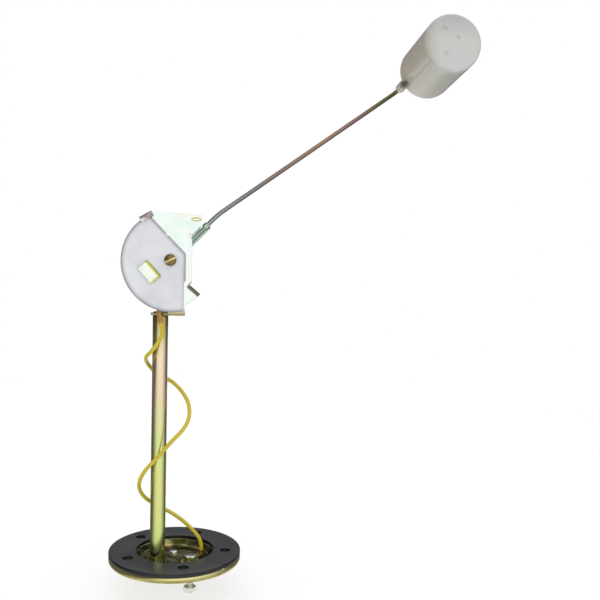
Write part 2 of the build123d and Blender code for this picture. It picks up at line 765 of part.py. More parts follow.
# Float body: moulded cup with a lug on its side for the end of the wire
float_x = float_lug_offset * cos(radians(float_lug_angle))
float_z = float_lug_offset * sin(radians(float_lug_angle))
float_middle = float_plane(0, 0, float_x, float_z)
float_axis = Axis(float_middle.origin, -float_middle.z_dir)
float_section = Plane(origin=float_middle.origin, x_dir=float_middle.x_dir, z_dir=float_middle.y_dir)
cap_seat_at = float_front_at + float_cap_h
float_inner_r = float_r - float_wall
with BuildPart() as float_body:
    with BuildSketch(float_section):
        with BuildLine():
            Polyline(
                (0, float_back_at), (float_r, float_back_at), (float_r, cap_seat_at),
                (float_inner_r, cap_seat_at), (float_inner_r, float_back_at - float_wall),
                (0, float_back_at - float_wall), close=True,
            )
        make_face()
        outer = vertices().sort_by_distance((float_r, float_back_at, 0))[0]
        fillet(outer, float_edge_r)
        inner = vertices().sort_by_distance((float_inner_r, float_back_at - float_wall, 0))[0]
        fillet(inner, float_edge_r - float_wall)
    revolve(axis=float_axis)
    lug_plane = float_plane(float_lug_l / 2, float_lug_angle)
    web_end = float_lug_offset - float_r + float_wall / 2
    with BuildSketch(lug_plane):
        Circle(float_lug_r)
        with Locations((web_end / 2, 0)):
            Rectangle(web_end, float_web_w)
    extrude(amount=float_lug_l)
    with BuildSketch(lug_plane):
        Circle(wire_r + float_bore_gap)
    extrude(amount=float_lug_l, mode=Mode.SUBTRACT)
float_body.part.label = "float_body"

# Float cap: domed lid with a spigot inside the cup, and three moulding marks
with BuildPart() as float_cap:
    spigot_r = float_inner_r - seat_gap
    with BuildSketch(float_section):
        with BuildLine():
            Polyline(
                (0, float_front_at), (float_r, float_front_at), (float_r, cap_seat_at),
                (spigot_r, cap_seat_at), (spigot_r, cap_seat_at + float_spigot_h),
                (spigot_r - float_wall, cap_seat_at + float_spigot_h),
                (spigot_r - float_wall, float_front_at + float_wall),
                (0, float_front_at + float_wall), close=True,
            )
        make_face()
        outer = vertices().sort_by_distance((float_r, float_front_at, 0))[0]
        fillet(outer, float_cap_h - seat_gap)
    revolve(axis=float_axis)
    with BuildSketch(float_plane(float_front_at + mould_mark_d, 0, float_x, float_z)):
        with Locations(*mould_marks):
            Circle(mould_mark_r)
    extrude(amount=mould_mark_d, mode=Mode.SUBTRACT)
float_cap.part.label = "float_cap"

# Signal terminal: screw with its head in the dish, insulated from the flange
tag_low = floor_top + insulator_top_t
head_low = tag_low + solder_tag_t
with BuildPart() as terminal_screw:
    with BuildSketch(Plane.XY.offset(head_low)):
        with Locations((terminal_x, terminal_y)):
            RegularPolygon(terminal_flats / 2, 6, major_radius=False)
    extrude(amount=terminal_head_t)
    disc(terminal_x, terminal_y, terminal_end, head_low, terminal_r)
    chamfer(edges().filter_by(GeomType.CIRCLE).sort_by(Axis.Z)[0], terminal_chamfer)
terminal_screw.part.label = "terminal_screw"

with BuildPart() as upper_insulator:
    disc(terminal_x, terminal_y, floor_top, tag_low, insulator_r, terminal_r + fit_gap)
    disc(terminal_x, terminal_y, floor_low, floor_top, insulator_neck_r, terminal_r + fit_gap)
upper_insulator.part.label = "upper_insulator"

with BuildPart() as lower_insulator:
    disc(terminal_x, terminal_y, floor_low - insulator_low_t, floor_low, insulator_r, terminal_r + fit_gap)
lower_insulator.part.label = "lower_insulator"

plain_washer_top = floor_low - insulator_low_t
with BuildPart() as plain_washer:
    disc(
        terminal_x, terminal_y, plain_washer_top - washer_t, plain_washer_top,
        washer_r, terminal_r + fit_gap,
    )
plain_washer.part.label = "plain_washer"

# Split spring washer
lock_washer_top = plain_washer_top - washer_t
with BuildPart() as lock_washer:
    disc(
        terminal_x, terminal_y, lock_washer_top - spring_washer_t, lock_washer_top,
        spring_washer_r, terminal_r + fit_gap,
    )
    with BuildSketch(Plane.XY.offset(lock_washer_top)):
        with Locations((terminal_x, terminal_y - spring_washer_r)):
            Rectangle(spring_washer_slit, 2 * spring_washer_r)
    extrude(amount=-spring_washer_t, mode=Mode.SUBTRACT)
lock_washer.part.label = "lock_washer"

# Two hexagon nuts: one clamps the insulators, the outer one the vehicle's cable
nut_top = lock_washer_top - spring_washer_t
with BuildPart() as terminal_nuts:
    for top in (nut_top, nut_top - nut_t - outer_nut_gap):
        with BuildSketch(Plane.XY.offset(top)):
            with Locations((terminal_x, terminal_y)):
                RegularPolygon(terminal_flats / 2, 6, major_radius=False)
                Circle(terminal_r + fit_gap, mode=Mode.SUBTRACT)
        extrude(amount=-nut_t)
terminal_nuts.part.label = "terminal_nuts"

# Solder tag under the screw's head, with a cup for the end of the lead
lead_end = lead_route[-1]
with BuildPart() as solder_tag:
    tag_dx = lead_end[0] - terminal_x
    tag_dy = lead_end[1] - terminal_y
    tag_length = (tag_dx**2 + tag_dy**2) ** 0.5
    tag_turn = degrees(atan2(tag_dy, tag_dx))
    with BuildSketch(Plane.XY.offset(tag_low)):
        with Locations((terminal_x, terminal_y)):
            Circle(washer_r)
        with Locations(Location((terminal_x + tag_dx / 2, terminal_y + tag_dy / 2), tag_turn)):
            SlotCenterToCenter(tag_length, solder_tag_w)
        with Locations((terminal_x, terminal_y)):
            Circle(terminal_r + fit_gap, mode=Mode.SUBTRACT)
    extrude(amount=solder_tag_t)
    with BuildSketch(Plane.XY.offset(head_low)):
        with Locations((lead_end[0], lead_end[1])):
            Circle(solder_cup_r)
    extrude(amount=lead_end[2] - head_low)
solder_tag.part.label = "solder_tag"

# Earth rivet through the floor of the dish, and the blade that it holds
blade_low = floor_low - earth_blade_t
with BuildPart() as earth_rivet:
    disc(earth_x, earth_y, floor_top, floor_top + earth_head_t, earth_head_r)
    fillet(edges().filter_by(GeomType.CIRCLE).sort_by(Axis.Z)[-1], earth_head_edge_r)
    disc(earth_x, earth_y, blade_low, floor_top, earth_shank_r)
    disc(earth_x, earth_y, blade_low - earth_swage_t, blade_low, earth_swage_r)
earth_rivet.part.label = "earth_rivet"

with BuildPart() as earth_blade:
    far_y = earth_y + earth_blade_l
    box_on(
        Plane.XY.offset(blade_low), (earth_x - earth_blade_w / 2, earth_x + earth_blade_w / 2),
        (earth_y - earth_blade_back, far_y), earth_blade_t,
    )
    box_on(
        Plane.XY.offset(blade_low - earth_blade_drop),
        (earth_x - earth_blade_w / 2, earth_x + earth_blade_w / 2), (far_y - earth_blade_t, far_y),
        earth_blade_drop,
    )
    with BuildSketch(Plane.XY.offset(blade_low)):
        with Locations((earth_x, earth_y)):
            Circle(earth_shank_r + fit_gap)
    extrude(amount=earth_blade_t, mode=Mode.SUBTRACT)
    fillet(edges().sort_by_distance((earth_x, far_y, floor_low))[0], earth_bend_r)
earth_blade.part.label = "earth_blade"

pieces = [
    flange_plate, flange_gasket, stem_tube, bracket, sector_plate, resistor_former, resistance_winding,
    winding_tag, lead_sleeve, signal_lead, pivot_pin, pivot_clip, drag_washer, hub_bush, arm_lever,
    arm_wire, wiper_blade, blade_rivets, wiper_contact, float_clip, float_body, float_cap,
    terminal_screw, upper_insulator, lower_insulator, plain_washer, lock_washer, terminal_nuts,
    solder_tag, earth_rivet, earth_blade,
]
os.makedirs("parts", exist_ok=True)
for piece in pieces:
    export_step(piece.part, f"parts/{piece.part.label}.step")
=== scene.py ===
# %% [markdown]
# A fuel level sender sits in the wall of a tank. Its flange closes the hole, its
# stem carries a small resistance box, and its float moves a wiper over that
# resistance. The solid model is the fixed frame here: this script dresses it,
# and builds in Blender only what a solid modeller draws badly.

# %% Load the frame
import json
from math import cos, pi, radians, sin, tan

import bmesh
import bpy
from mathutils import Matrix, Vector

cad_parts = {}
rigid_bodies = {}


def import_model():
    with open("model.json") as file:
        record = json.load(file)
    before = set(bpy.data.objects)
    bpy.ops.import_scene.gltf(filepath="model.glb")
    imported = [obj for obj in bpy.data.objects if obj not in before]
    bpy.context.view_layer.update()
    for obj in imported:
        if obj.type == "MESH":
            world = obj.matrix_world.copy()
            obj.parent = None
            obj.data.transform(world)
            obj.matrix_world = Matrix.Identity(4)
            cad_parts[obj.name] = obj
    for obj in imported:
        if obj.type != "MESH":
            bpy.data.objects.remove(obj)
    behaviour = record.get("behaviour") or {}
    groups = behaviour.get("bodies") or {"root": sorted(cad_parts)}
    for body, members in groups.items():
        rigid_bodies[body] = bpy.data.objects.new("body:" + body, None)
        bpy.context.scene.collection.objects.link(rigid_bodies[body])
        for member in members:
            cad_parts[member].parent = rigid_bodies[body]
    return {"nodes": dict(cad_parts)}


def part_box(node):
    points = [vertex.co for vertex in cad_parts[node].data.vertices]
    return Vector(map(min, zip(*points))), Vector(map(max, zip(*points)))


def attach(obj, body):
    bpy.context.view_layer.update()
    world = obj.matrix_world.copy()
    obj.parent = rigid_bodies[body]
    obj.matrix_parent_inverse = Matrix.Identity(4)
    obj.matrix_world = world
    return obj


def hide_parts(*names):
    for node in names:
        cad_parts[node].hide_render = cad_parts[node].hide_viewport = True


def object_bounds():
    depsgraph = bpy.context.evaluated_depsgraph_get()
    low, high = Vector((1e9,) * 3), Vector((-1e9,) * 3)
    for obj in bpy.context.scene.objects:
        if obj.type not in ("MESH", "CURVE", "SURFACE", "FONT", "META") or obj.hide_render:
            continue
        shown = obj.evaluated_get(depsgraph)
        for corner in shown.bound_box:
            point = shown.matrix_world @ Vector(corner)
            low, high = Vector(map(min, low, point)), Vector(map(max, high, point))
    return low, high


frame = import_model()
nodes = frame["nodes"]
MM = 0.001
PIVOT = Vector((-4.4, 0, 153.6))
scene = bpy.context.scene
cad_low, cad_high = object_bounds()

# %% [markdown]
# The camera comes first, because every choice of colour and edge is judged
# through it. It looks nearly level at the sector plate from 37 cm, so the flange
# is a flat ellipse and the float shows its round end. A little shift frames the
# picture off centre without bending any upright line.

# %% Camera
CAMERA_PLACE = Vector((0.0, -373.63, 137.65)) * MM
CAMERA_YAW = radians(-6.63)
CAMERA_PITCH = radians(-2.28)
CAMERA_ROLL = radians(-0.83)
CAMERA_LENS = 42.0
CAMERA_SHIFT = (0.0667, 0.0333)

camera_data = bpy.data.cameras.new("camera")
camera_data.lens = CAMERA_LENS
camera_data.shift_x, camera_data.shift_y = CAMERA_SHIFT
camera_data.clip_start = 0.01
camera = bpy.data.objects.new("camera", camera_data)
turned = (
    Matrix.Rotation(CAMERA_ROLL, 4, "Y") @ Matrix.Rotation(CAMERA_PITCH, 4, "X")
    @ Matrix.Rotation(CAMERA_YAW, 4, "Z") @ Matrix.Rotation(pi / 2, 4, "X")
)
camera.matrix_world = Matrix.Translation(CAMERA_PLACE) @ turned
scene.collection.objects.link(camera)
scene.camera = camera
print("camera looks along", [round(x, 3) for x in turned @ Vector((0, 0, -1))])

# %% [markdown]
# Node trees are long to write out, so each of these helpers adds one kind of node
# and gives back the socket that the next step needs. An input takes a value, a
# socket, or a node, which stands for its first output. A new node goes into the
# tree that its inputs come from, so a tree is named only where a chain starts.

# %% Node helpers
WIRED = (bpy.types.Node, bpy.types.NodeSocket)


def fill(node, inputs):
    """Fills a node's inputs, by name or number, with values, sockets or nodes."""
    for name, value in inputs.items():
        if isinstance(value, bpy.types.Node):
            value = value.outputs[0]
        if isinstance(value, WIRED):
            node.id_data.links.new(value, node.inputs[name])
        else:
            node.inputs[name].default_value = value


def add_node(kind, inputs=None, tree=None, **settings):
    """Adds a node, sets its properties and fills its inputs."""
    inputs = inputs or {}
    tree = tree or next(value.id_data for value in inputs.values() if isinstance(value, WIRED))
    node = tree.nodes.new(kind)
    for name, value in settings.items():
        setattr(node, name, value)
    fill(node, inputs)
    return node


def maths(operation, *values, clamp=False):
    """A value worked out from others."""
    node = add_node("ShaderNodeMath", dict(enumerate(values)), operation=operation, use_clamp=clamp)
    return node.outputs[0]


def product(first, *others):
    """Masks multiplied, so the result is 1 only where all of them are."""
    for other in others:
        first = maths("MULTIPLY", first, other)
    return first


def vectors(operation, *values):
    """A vector worked out from others, or their dot product or length as a value."""
    node = add_node("ShaderNodeVectorMath", dict(enumerate(values)), operation=operation)
    return node.outputs["Value" if operation in ("DOT_PRODUCT", "LENGTH") else "Vector"]


def along_axis(vector, letter):
    """A vector's share along "X", "Y" or "Z"."""
    return add_node("ShaderNodeSeparateXYZ", {0: vector}).outputs[letter]


def straight_step(value, start, end, kind="LINEAR"):
    """A value that goes from 0 to 1 as another goes from start to end."""
    inputs = {"Value": value, "From Min": start, "From Max": end}
    return add_node("ShaderNodeMapRange", inputs, interpolation_type=kind).outputs[0]


def soft_step(value, start, end):
    """The same, but it sets out and arrives slowly."""
    return straight_step(value, start, end, "SMOOTHSTEP")


def within(*limits):
    """1 only where every limit holds. Each is a value and where it starts and ends its step."""
    return product(*(straight_step(*limit) for limit in limits))


# %% [markdown]
# The light is a plain white studio. Metal shows what stands round it, so glossy
# rays also find what a photographer sets up to give metal its dark lines: grey
# cards that darken from the front towards the sides and the back. One node group
# says how dark they are in any direction, all round for the sky and with a gap at
# the very back for the floor. Matt surfaces get even light, and the camera sees
# plain white.

# %% Shared effect: dark cards
def new_group(name, inputs, outputs):
    """An empty shader group with named sockets, and its two end nodes."""
    group = bpy.data.node_groups.new(name, "ShaderNodeTree")
    for title, kind, value in inputs:
        socket = group.interface.new_socket(name=title, in_out="INPUT", socket_type=kind)
        if value is not None:
            socket.default_value = value
    for title, kind in outputs:
        group.interface.new_socket(name=title, in_out="OUTPUT", socket_type=kind)
    return group, group.nodes.new("NodeGroupInput"), group.nodes.new("NodeGroupOutput")


FLOAT, COLOUR, VECTOR = "NodeSocketFloat", "NodeSocketColor", "NodeSocketVector"
CARD_SHADE = 0.12
AWAY_FROM_FRONT = (-0.15, 1, 0)
DARKENING = (-0.93, 0.05)
BACK_GAP = (0.97, 0.8)
cards, cards_in, cards_out = new_group(
    "dark_cards", [("Direction", VECTOR, None)], [("Sides", FLOAT), ("Round", FLOAT)],
)
heading = vectors("NORMALIZE", vectors("MULTIPLY", cards_in, (1, 1, 0)))
darker = straight_step(vectors("DOT_PRODUCT", heading, AWAY_FROM_FRONT), *DARKENING)
not_back = soft_step(along_axis(heading, "Y"), *BACK_GAP)
fill(cards_out, {"Round": darker, "Sides": product(darker, not_back)})

# %% World
LEFT_CARD = (-0.88, 0.0, 0.47)
LEFT_CARD_EDGE = (0.57, 0.8)
CARD_TOPS = (0.8, 0.4)
EVEN_LIGHT = 0.86
world = bpy.data.worlds.new("studio_tent")
world.use_nodes = True
scene.world = world
tent = world.node_tree
tent.nodes.clear()
direction = add_node("ShaderNodeTexCoord", tree=tent).outputs["Generated"]
round_part = add_node("ShaderNodeGroup", {0: direction}, node_tree=cards).outputs["Round"]
low_cards = product(round_part, soft_step(along_axis(direction, "Z"), *CARD_TOPS))
high_left = soft_step(vectors("DOT_PRODUCT", direction, LEFT_CARD), *LEFT_CARD_EDGE)
ray = add_node("ShaderNodeLightPath", tree=tent).outputs
not_camera = maths("SUBTRACT", 1.0, ray["Is Camera Ray"])
card_seen = product(maths("MAXIMUM", low_cards, high_left), not_camera)
shown = maths("MULTIPLY_ADD", card_seen, CARD_SHADE - 1, 1.0)
background = add_node("ShaderNodeBackground", {"Color": shown})
even_light = add_node("ShaderNodeBackground", {"Color": (1, 1, 1, 1), "Strength": EVEN_LIGHT}, tent)
camera_or_glossy = maths("MAXIMUM", ray["Is Camera Ray"], ray["Is Glossy Ray"])
sees_background = maths("MAXIMUM", camera_or_glossy, ray["Is Transmission Ray"])
seen = add_node("ShaderNodeMixShader", {0: sees_background, 1: even_light, 2: background})
add_node("ShaderNodeOutputWorld", {0: seen})

# %% [markdown]
# Two soft lamps give the shapes a little modelling, one from the front right and
# one from the back left. They don't show in reflections, where they would burn
# out the pale plating.

# %% Lamps
def soft_lamp(name, place, target, size, watts):
    """A square lamp of that size, turned to face the target."""
    data = bpy.data.lights.new(name, "AREA")
    data.size = size
    data.energy = watts
    lamp = bpy.data.objects.new(name, data)
    lamp.location = place
    lamp.rotation_euler = (Vector(target) - Vector(place)).to_track_quat("-Z", "Y").to_euler()
    lamp.visible_glossy = False
    scene.collection.objects.link(lamp)


PART_MIDDLE = (cad_low + cad_high) / 2
soft_lamp("key_lamp", (0.2, -1.0, 0.6), PART_MIDDLE, 0.7, 1.5)
soft_lamp("back_lamp", (-0.5, 0.9, 0.9), PART_MIDDLE, 0.6, 1.2)
scene.view_settings.view_transform = "Standard"
print("two lamps aimed at", [round(x, 3) for x in PART_MIDDLE])

# %% [markdown]
# The floor is a matt grey that also glows, so it is nearly white and keeps only a
# soft shadow. Far from the part it turns into the background's own white, so no
# horizon shows. From a few centimetres away, glossy rays find the dark cards on it
# too, laid out round the stem.

# %% Floor
FLOOR_SIZE = 12.0
FLOOR_FADE = (0.25, 0.9)
FLOOR_GREY = 0.305
SEEN_GLOW = 0.72
BOUNCED_GLOW = 0.65
CARDS_FADE = (0.05, 0.08)
STEM_AXIS = (-0.0091, 0, 0)
bpy.ops.object.select_all(action="DESELECT")
bpy.ops.mesh.primitive_plane_add(size=FLOOR_SIZE, location=(0, 0, cad_low.z))
floor = bpy.context.object
floor.name = "floor"
floor_paint = bpy.data.materials.new("floor_paint")
floor_paint.use_nodes = True
tree = floor_paint.node_tree
tree.nodes.clear()


def glow(strength):
    """White light that the floor gives off."""
    return add_node("ShaderNodeEmission", {"Color": (1, 1, 1, 1), "Strength": strength}, tree)


def blend(share, first, second):
    """Goes from one shader to another as the share goes from 0 to 1."""
    return add_node("ShaderNodeMixShader", {0: share, 1: first, 2: second})


matt = add_node("ShaderNodeBsdfDiffuse", {"Color": (FLOOR_GREY, FLOOR_GREY, FLOOR_GREY, 1)}, tree)
path = add_node("ShaderNodeLightPath", tree=tree).outputs
camera_or_glossy = maths("MAXIMUM", path["Is Camera Ray"], path["Is Glossy Ray"])
lift = blend(camera_or_glossy, glow(BOUNCED_GLOW), glow(SEEN_GLOW))
near_part = add_node("ShaderNodeAddShader", {0: matt, 1: lift})
spot = add_node("ShaderNodeTexCoord", tree=tree).outputs["Object"]
reach = vectors("LENGTH", spot)
plain_floor = blend(soft_step(reach, *FLOOR_FADE), near_part, glow(1.0))
from_stem = vectors("SUBTRACT", spot, STEM_AXIS)
card_there = add_node("ShaderNodeGroup", {0: from_stem}, node_tree=cards).outputs["Sides"]
card_seen = product(card_there, soft_step(reach, *CARDS_FADE), path["Is Glossy Ray"])
add_node("ShaderNodeOutputMaterial", {0: blend(card_seen, plain_floor, glow(CARD_SHADE))})
floor.data.materials.append(floor_paint)

# %% [markdown]
# Most of this part is zinc plated steel. The plating is passivated, which leaves
# a film that is yellow in bulk and drifts to green and pink where it is thinner.
# That drift is one effect, used by several finishes, so it is a node group: it
# takes a place, a size of patch and three colours, and gives back a colour.
# Colours are written as a screen shows them and turned into linear values.

# %% Shared effect: plating bloom
def screen_colour(red, green, blue):
    """A colour as a screen shows it, 0 to 255, as the linear values that a socket takes."""
    def linear(value):
        value = value / 255
        return value / 12.92 if value <= 0.04045 else ((value + 0.055) / 1.055) ** 2.4
    return (linear(red), linear(green), linear(blue), 1.0)


def as_colour(value):
    """A screen colour's three values made linear. A socket or a node stays as it is."""
    return screen_colour(*value) if isinstance(value, tuple) else value


def mix(share, first, second, kind="MIX"):
    """Goes from one colour to another as the share goes from 0 to 1."""
    inputs = {0: share, 6: as_colour(first), 7: as_colour(second)}
    return add_node("ShaderNodeMix", inputs, data_type="RGBA", blend_type=kind).outputs[2]


def noise(place, scale, detail, roughness=0.5, distortion=0.0):
    """A cloudy value about 0.5."""
    return add_node("ShaderNodeTexNoise", {
        "Vector": place, "Scale": scale, "Detail": detail, "Roughness": roughness, "Distortion": distortion,
    }).outputs["Fac"]


bloom, bloom_in, bloom_out = new_group(
    "plating_bloom",
    [("Place", VECTOR, None), ("Patch Scale", FLOAT, 60.0), ("Body", COLOUR, None),
     ("First Drift", COLOUR, None), ("Second Drift", COLOUR, None), ("Amount", FLOAT, 0.6)],
    [("Color", COLOUR)],
)
PATCH_EDGE = (0.42, 0.66)
given = bloom_in.outputs
second_place = vectors("ADD", given["Place"], (3.1, 7.7, 1.3))
second_scale = maths("MULTIPLY", given["Patch Scale"], 1.7)
tint = given["Body"]
for drift, patches in (
    ("First Drift", noise(given["Place"], given["Patch Scale"], 3.0, 0.55, 0.6)),
    ("Second Drift", noise(second_place, second_scale, 2.0, 0.5, 0.9)),
):
    share = maths("MULTIPLY", soft_step(patches, *PATCH_EDGE), given["Amount"], clamp=True)
    tint = mix(share, tint, given[drift])
fill(bloom_out, {"Color": tint})

# %% [markdown]
# No made surface is one even sheen. Handling leaves it a little duller in places,
# and drawing or pressing leaves a fine grain. This group turns a place into a
# roughness that wanders about its middle, and into a height for a Bump node.

# %% Shared effect: surface grain
CLOUD_SCALE = 120.0
grain, grain_in, grain_out = new_group(
    "surface_grain",
    [("Place", VECTOR, None), ("Grain Scale", FLOAT, 900.0), ("Middle", FLOAT, 0.3), ("Spread", FLOAT, 0.1)],
    [("Roughness", FLOAT), ("Height", FLOAT)],
)
given = grain_in.outputs
swing = maths("MULTIPLY_ADD", noise(given["Place"], CLOUD_SCALE, 4.0), 2.0, -1.0)
rough = maths("MULTIPLY_ADD", swing, given["Spread"], given["Middle"], clamp=True)
fine = noise(given["Place"], given["Grain Scale"], 2.0, 0.7)
fill(grain_out, {"Roughness": rough, "Height": fine})

# %% [markdown]
# Pressed and cut edges are never knife sharp. A Bevel node rounds the normals
# near an edge, and the angle between that normal and the true one marks the edge
# itself, where plating rubs bright on the hardware, and where the bracket and the
# lever get a painted shade.

# %% Shared effect: worked edges
EDGE_LIKENESS = (0.995, 0.8)
edges, edges_in, edges_out = new_group(
    "worked_edges", [("Width", FLOAT, 0.0003)], [("Normal", VECTOR), ("Edge", FLOAT)],
)
rounded = add_node("ShaderNodeBevel", {"Radius": edges_in}, samples=6)
true_normal = add_node("ShaderNodeNewGeometry", tree=edges).outputs["Normal"]
likeness = vectors("DOT_PRODUCT", rounded, true_normal)
fill(edges_out, {"Normal": rounded, "Edge": straight_step(likeness, *EDGE_LIKENESS)})

# %% [markdown]
# Every finish starts the same way and ends with the same grain and edges. Between
# the two it gets its colour: most often the film, whose patches, skin and edges
# are given as lists in the order that these helpers take them.

# %% Material starter
METAL = {"Metallic": 1.0}
GRAIN_STRENGTH = 0.35
finishes = {}


def new_finish(name, settings):
    """Starts a material, and gives its Principled BSDF and its object coordinates."""
    finishes[name] = bpy.data.materials.new(name)
    finishes[name].use_nodes = True
    tree = finishes[name].node_tree
    tree.nodes.clear()
    shader = add_node("ShaderNodeBsdfPrincipled", settings, tree)
    add_node("ShaderNodeOutputMaterial", {0: shader})
    return shader, add_node("ShaderNodeTexCoord", tree=tree).outputs["Object"]


def film(place, patch_scale, amount, body, first, second):
    """A body colour that drifts to two others in patches."""
    return add_node("ShaderNodeGroup", {
        "Place": place, "Patch Scale": patch_scale, "Amount": amount, "Body": as_colour(body),
        "First Drift": as_colour(first), "Second Drift": as_colour(second),
    }, node_tree=bloom)


def add_surface(
    shader, place, colour, grain_scale, middle, spread, depth, edge_width=0.0003, edge_colour=None,
):
    """Gives a shader its colour, its grain and its edges, which may have a colour of their own."""
    worked = add_node("ShaderNodeGroup", {"Width": edge_width}, shader.id_data, node_tree=edges).outputs
    skin = add_node("ShaderNodeGroup", {
        "Place": place, "Grain Scale": grain_scale, "Middle": middle, "Spread": spread,
    }, node_tree=grain).outputs
    bump = add_node("ShaderNodeBump", {
        "Strength": GRAIN_STRENGTH, "Distance": depth, "Height": skin["Height"], "Normal": worked["Normal"],
    })
    if edge_colour:
        colour = mix(worked["Edge"], colour, edge_colour)
    fill(shader, {"Base Color": colour, "Normal": bump, "Roughness": skin["Roughness"]})


def patchy_finish(name, settings, patches, skin, edge_colour=None):
    """A whole finish from the film's values and the surface's."""
    shader, place = new_finish(name, settings)
    add_surface(shader, place, film(place, *patches), *skin, edge_colour=edge_colour)


# %% [markdown]
# Yellow zinc shows on the flange and the stem. The film runs as the part drains
# from its bath, so on the stem its colour changes along the tube: pinkish white
# near the top, yellow green lower down, and dark green round the foot. Just under
# the ledge it turns a darker olive gold, which is painted shade from the ledge. A
# ramp along the height does that, and a cloud shifts it a little.

# %% Yellow zinc
def colour_ramp(share, stops):
    """A ramp's colour. Each stop is a position from 0 to 1 and a screen colour's three values."""
    node = add_node("ShaderNodeValToRGB", {0: share})
    marks = node.color_ramp.elements
    for mark, (position, *colour) in zip(marks, (stops[0], stops[-1])):
        mark.position, mark.color = position, screen_colour(*colour)
    for position, *colour in stops[1:-1]:
        marks.new(position).color = screen_colour(*colour)
    return node.outputs["Color"]


def ramp_along(place, letter, low, high, stops, cloud, wander, offset):
    """A ramp's colour along an axis, from low to high in metres, shifted by a cloud."""
    share = straight_step(along_axis(place, letter), low, high)
    shift = maths("MULTIPLY_ADD", cloud, wander, offset)
    return colour_ramp(maths("ADD", share, shift), stops)


STEM_FOOT, STEM_LEDGE = -0.0048, 0.1262
# The last two stops are painted shade under the ledge.
STEM_FILM_AND_SHADE = [
    (0.0, 96, 110, 62), (0.03, 160, 176, 130), (0.08, 208, 220, 138), (0.3, 220, 222, 140),
    (0.49, 216, 226, 152), (0.6, 228, 224, 170), (0.7, 240, 218, 186), (0.82, 244, 224, 192),
    (0.92, 214, 202, 146), (1.0, 168, 144, 84),
]
shader, place = new_finish("yellow_zinc_stem", METAL)
drawn_out = add_node("ShaderNodeMapping", {"Vector": place, "Scale": (1, 1, 0.3)})
cloud = noise(drawn_out, 90.0, 3.0)
along_stem = ramp_along(place, "Z", STEM_FOOT, STEM_LEDGE, STEM_FILM_AND_SHADE, cloud, 0.16, -0.08)
add_surface(shader, place, along_stem, 1400.0, 0.17, 0.06, 0.00001)

# %% [markdown]
# The flange is a deeper yellow. Down its rim a ramp by height paints shade on the
# lower wall and a highlight on the rounded shoulder. Its dish gets painted shade:
# dark green brown inside, in patches, which a mask by height and distance from the
# middle lays in. The walls of the screw holes and the dish's far wall are steep
# and stand in shade, so they are painted nearly black.

# %% Flange zinc
def steep_faces(place, gentle, steep):
    """1 on upright faces and 0 on level ones, by how far the normal points up or down."""
    upward = along_axis(place.node.outputs["Normal"], "Z")
    return soft_step(maths("ABSOLUTE", upward), gentle, steep)


RIM_FOOT, RIM_TOP = -0.0050, -0.0018
# Painted light down the rim: shade low on its wall, a highlight on its shoulder.
RIM_SHADE_AND_HIGHLIGHT = [
    (0.0, 150, 142, 82), (0.45, 164, 154, 88), (0.62, 222, 212, 144), (0.85, 252, 246, 184),
    (1.0, 226, 214, 140),
]
shader, place = new_finish("yellow_zinc_flange", METAL)
cloud = noise(place, 60.0, 3.0)
rim_shade_and_highlight = ramp_along(place, "Z", RIM_FOOT, RIM_TOP, RIM_SHADE_AND_HIGHLIGHT, cloud, 0.1, -0.05)
rim_film = film(place, 70.0, 0.35, rim_shade_and_highlight, (226, 216, 150), (196, 190, 120))
# The dish's dark patches are painted shade.
dish_film_and_shade = film(place, 85.0, 0.9, (120, 116, 72), (52, 66, 48), (214, 198, 146))
height = along_axis(place, "Z")
from_middle = vectors("LENGTH", vectors("MULTIPLY", place, (1, 1, 0)))
in_dish = within((height, -0.0018, -0.0021), (height, -0.0056, -0.0050), (from_middle, 0.0325, 0.0320))
colour = mix(in_dish, rim_film, dish_film_and_shade)
past_dish = soft_step(from_middle, 0.0225, 0.0235)
before_rim = soft_step(from_middle, 0.0312, 0.0306)
outer_dish = soft_step(from_middle, 0.0165, 0.0180)
before_holes = soft_step(from_middle, 0.0225, 0.0220)
far_side = soft_step(along_axis(place, "Y"), -0.008, 0.004)
hole_ring = product(past_dish, before_rim)
far_dish = product(outer_dish, before_holes, far_side)
# Painted shade, nearly black, on steep faces among the holes and on the dish's far wall.
in_shade = product(steep_faces(place, 0.7, 0.4), maths("MAXIMUM", hole_ring, far_dish))
colour = mix(in_shade, colour, (34, 36, 28))
add_surface(shader, place, colour, 1400.0, 0.2, 0.08, 0.00002)

# %% [markdown]
# Bright zinc is nearly white, with the faintest mint and yellow in it. The
# screw, its nuts and the lever are plain patchy finishes.

# %% Bright zinc
patchy_finish(
    "bright_zinc_hardware", METAL, (200.0, 0.6, (236, 240, 240), (214, 226, 220), (236, 232, 214)),
    (1400.0, 0.2, 0.08, 0.00002), (245, 245, 240),
)
# The lever's edges get a dark olive, painted shade.
patchy_finish(
    "bright_zinc_lever", METAL, (220.0, 0.8, (168, 192, 172), (146, 176, 152), (196, 210, 176)),
    (1400.0, 0.24, 0.08, 0.00002), (92, 104, 70),
)

# %% [markdown]
# The bracket's finish paints shade in places: brown along its lower ledge, olive
# on the edge of its lower stop, mauve on the tab at its tip, and yellow on the
# edges of the tab on the plate's face. It is also yellow green round its slot.
# Each place is a mask, measured from the pivot along and across the tab's own
# direction where the tab stands at an angle.

# %% Bracket zinc
def along_and_across(vector, angle):
    """How far a place lies along a direction in the bracket's plane, and how far across it."""
    ways = (cos(angle), 0, sin(angle)), (-sin(angle), 0, cos(angle))
    return [vectors("DOT_PRODUCT", vector, way) for way in ways]


BRACKET_LEDGE, BRACKET_TIP = 0.1262, 0.1758
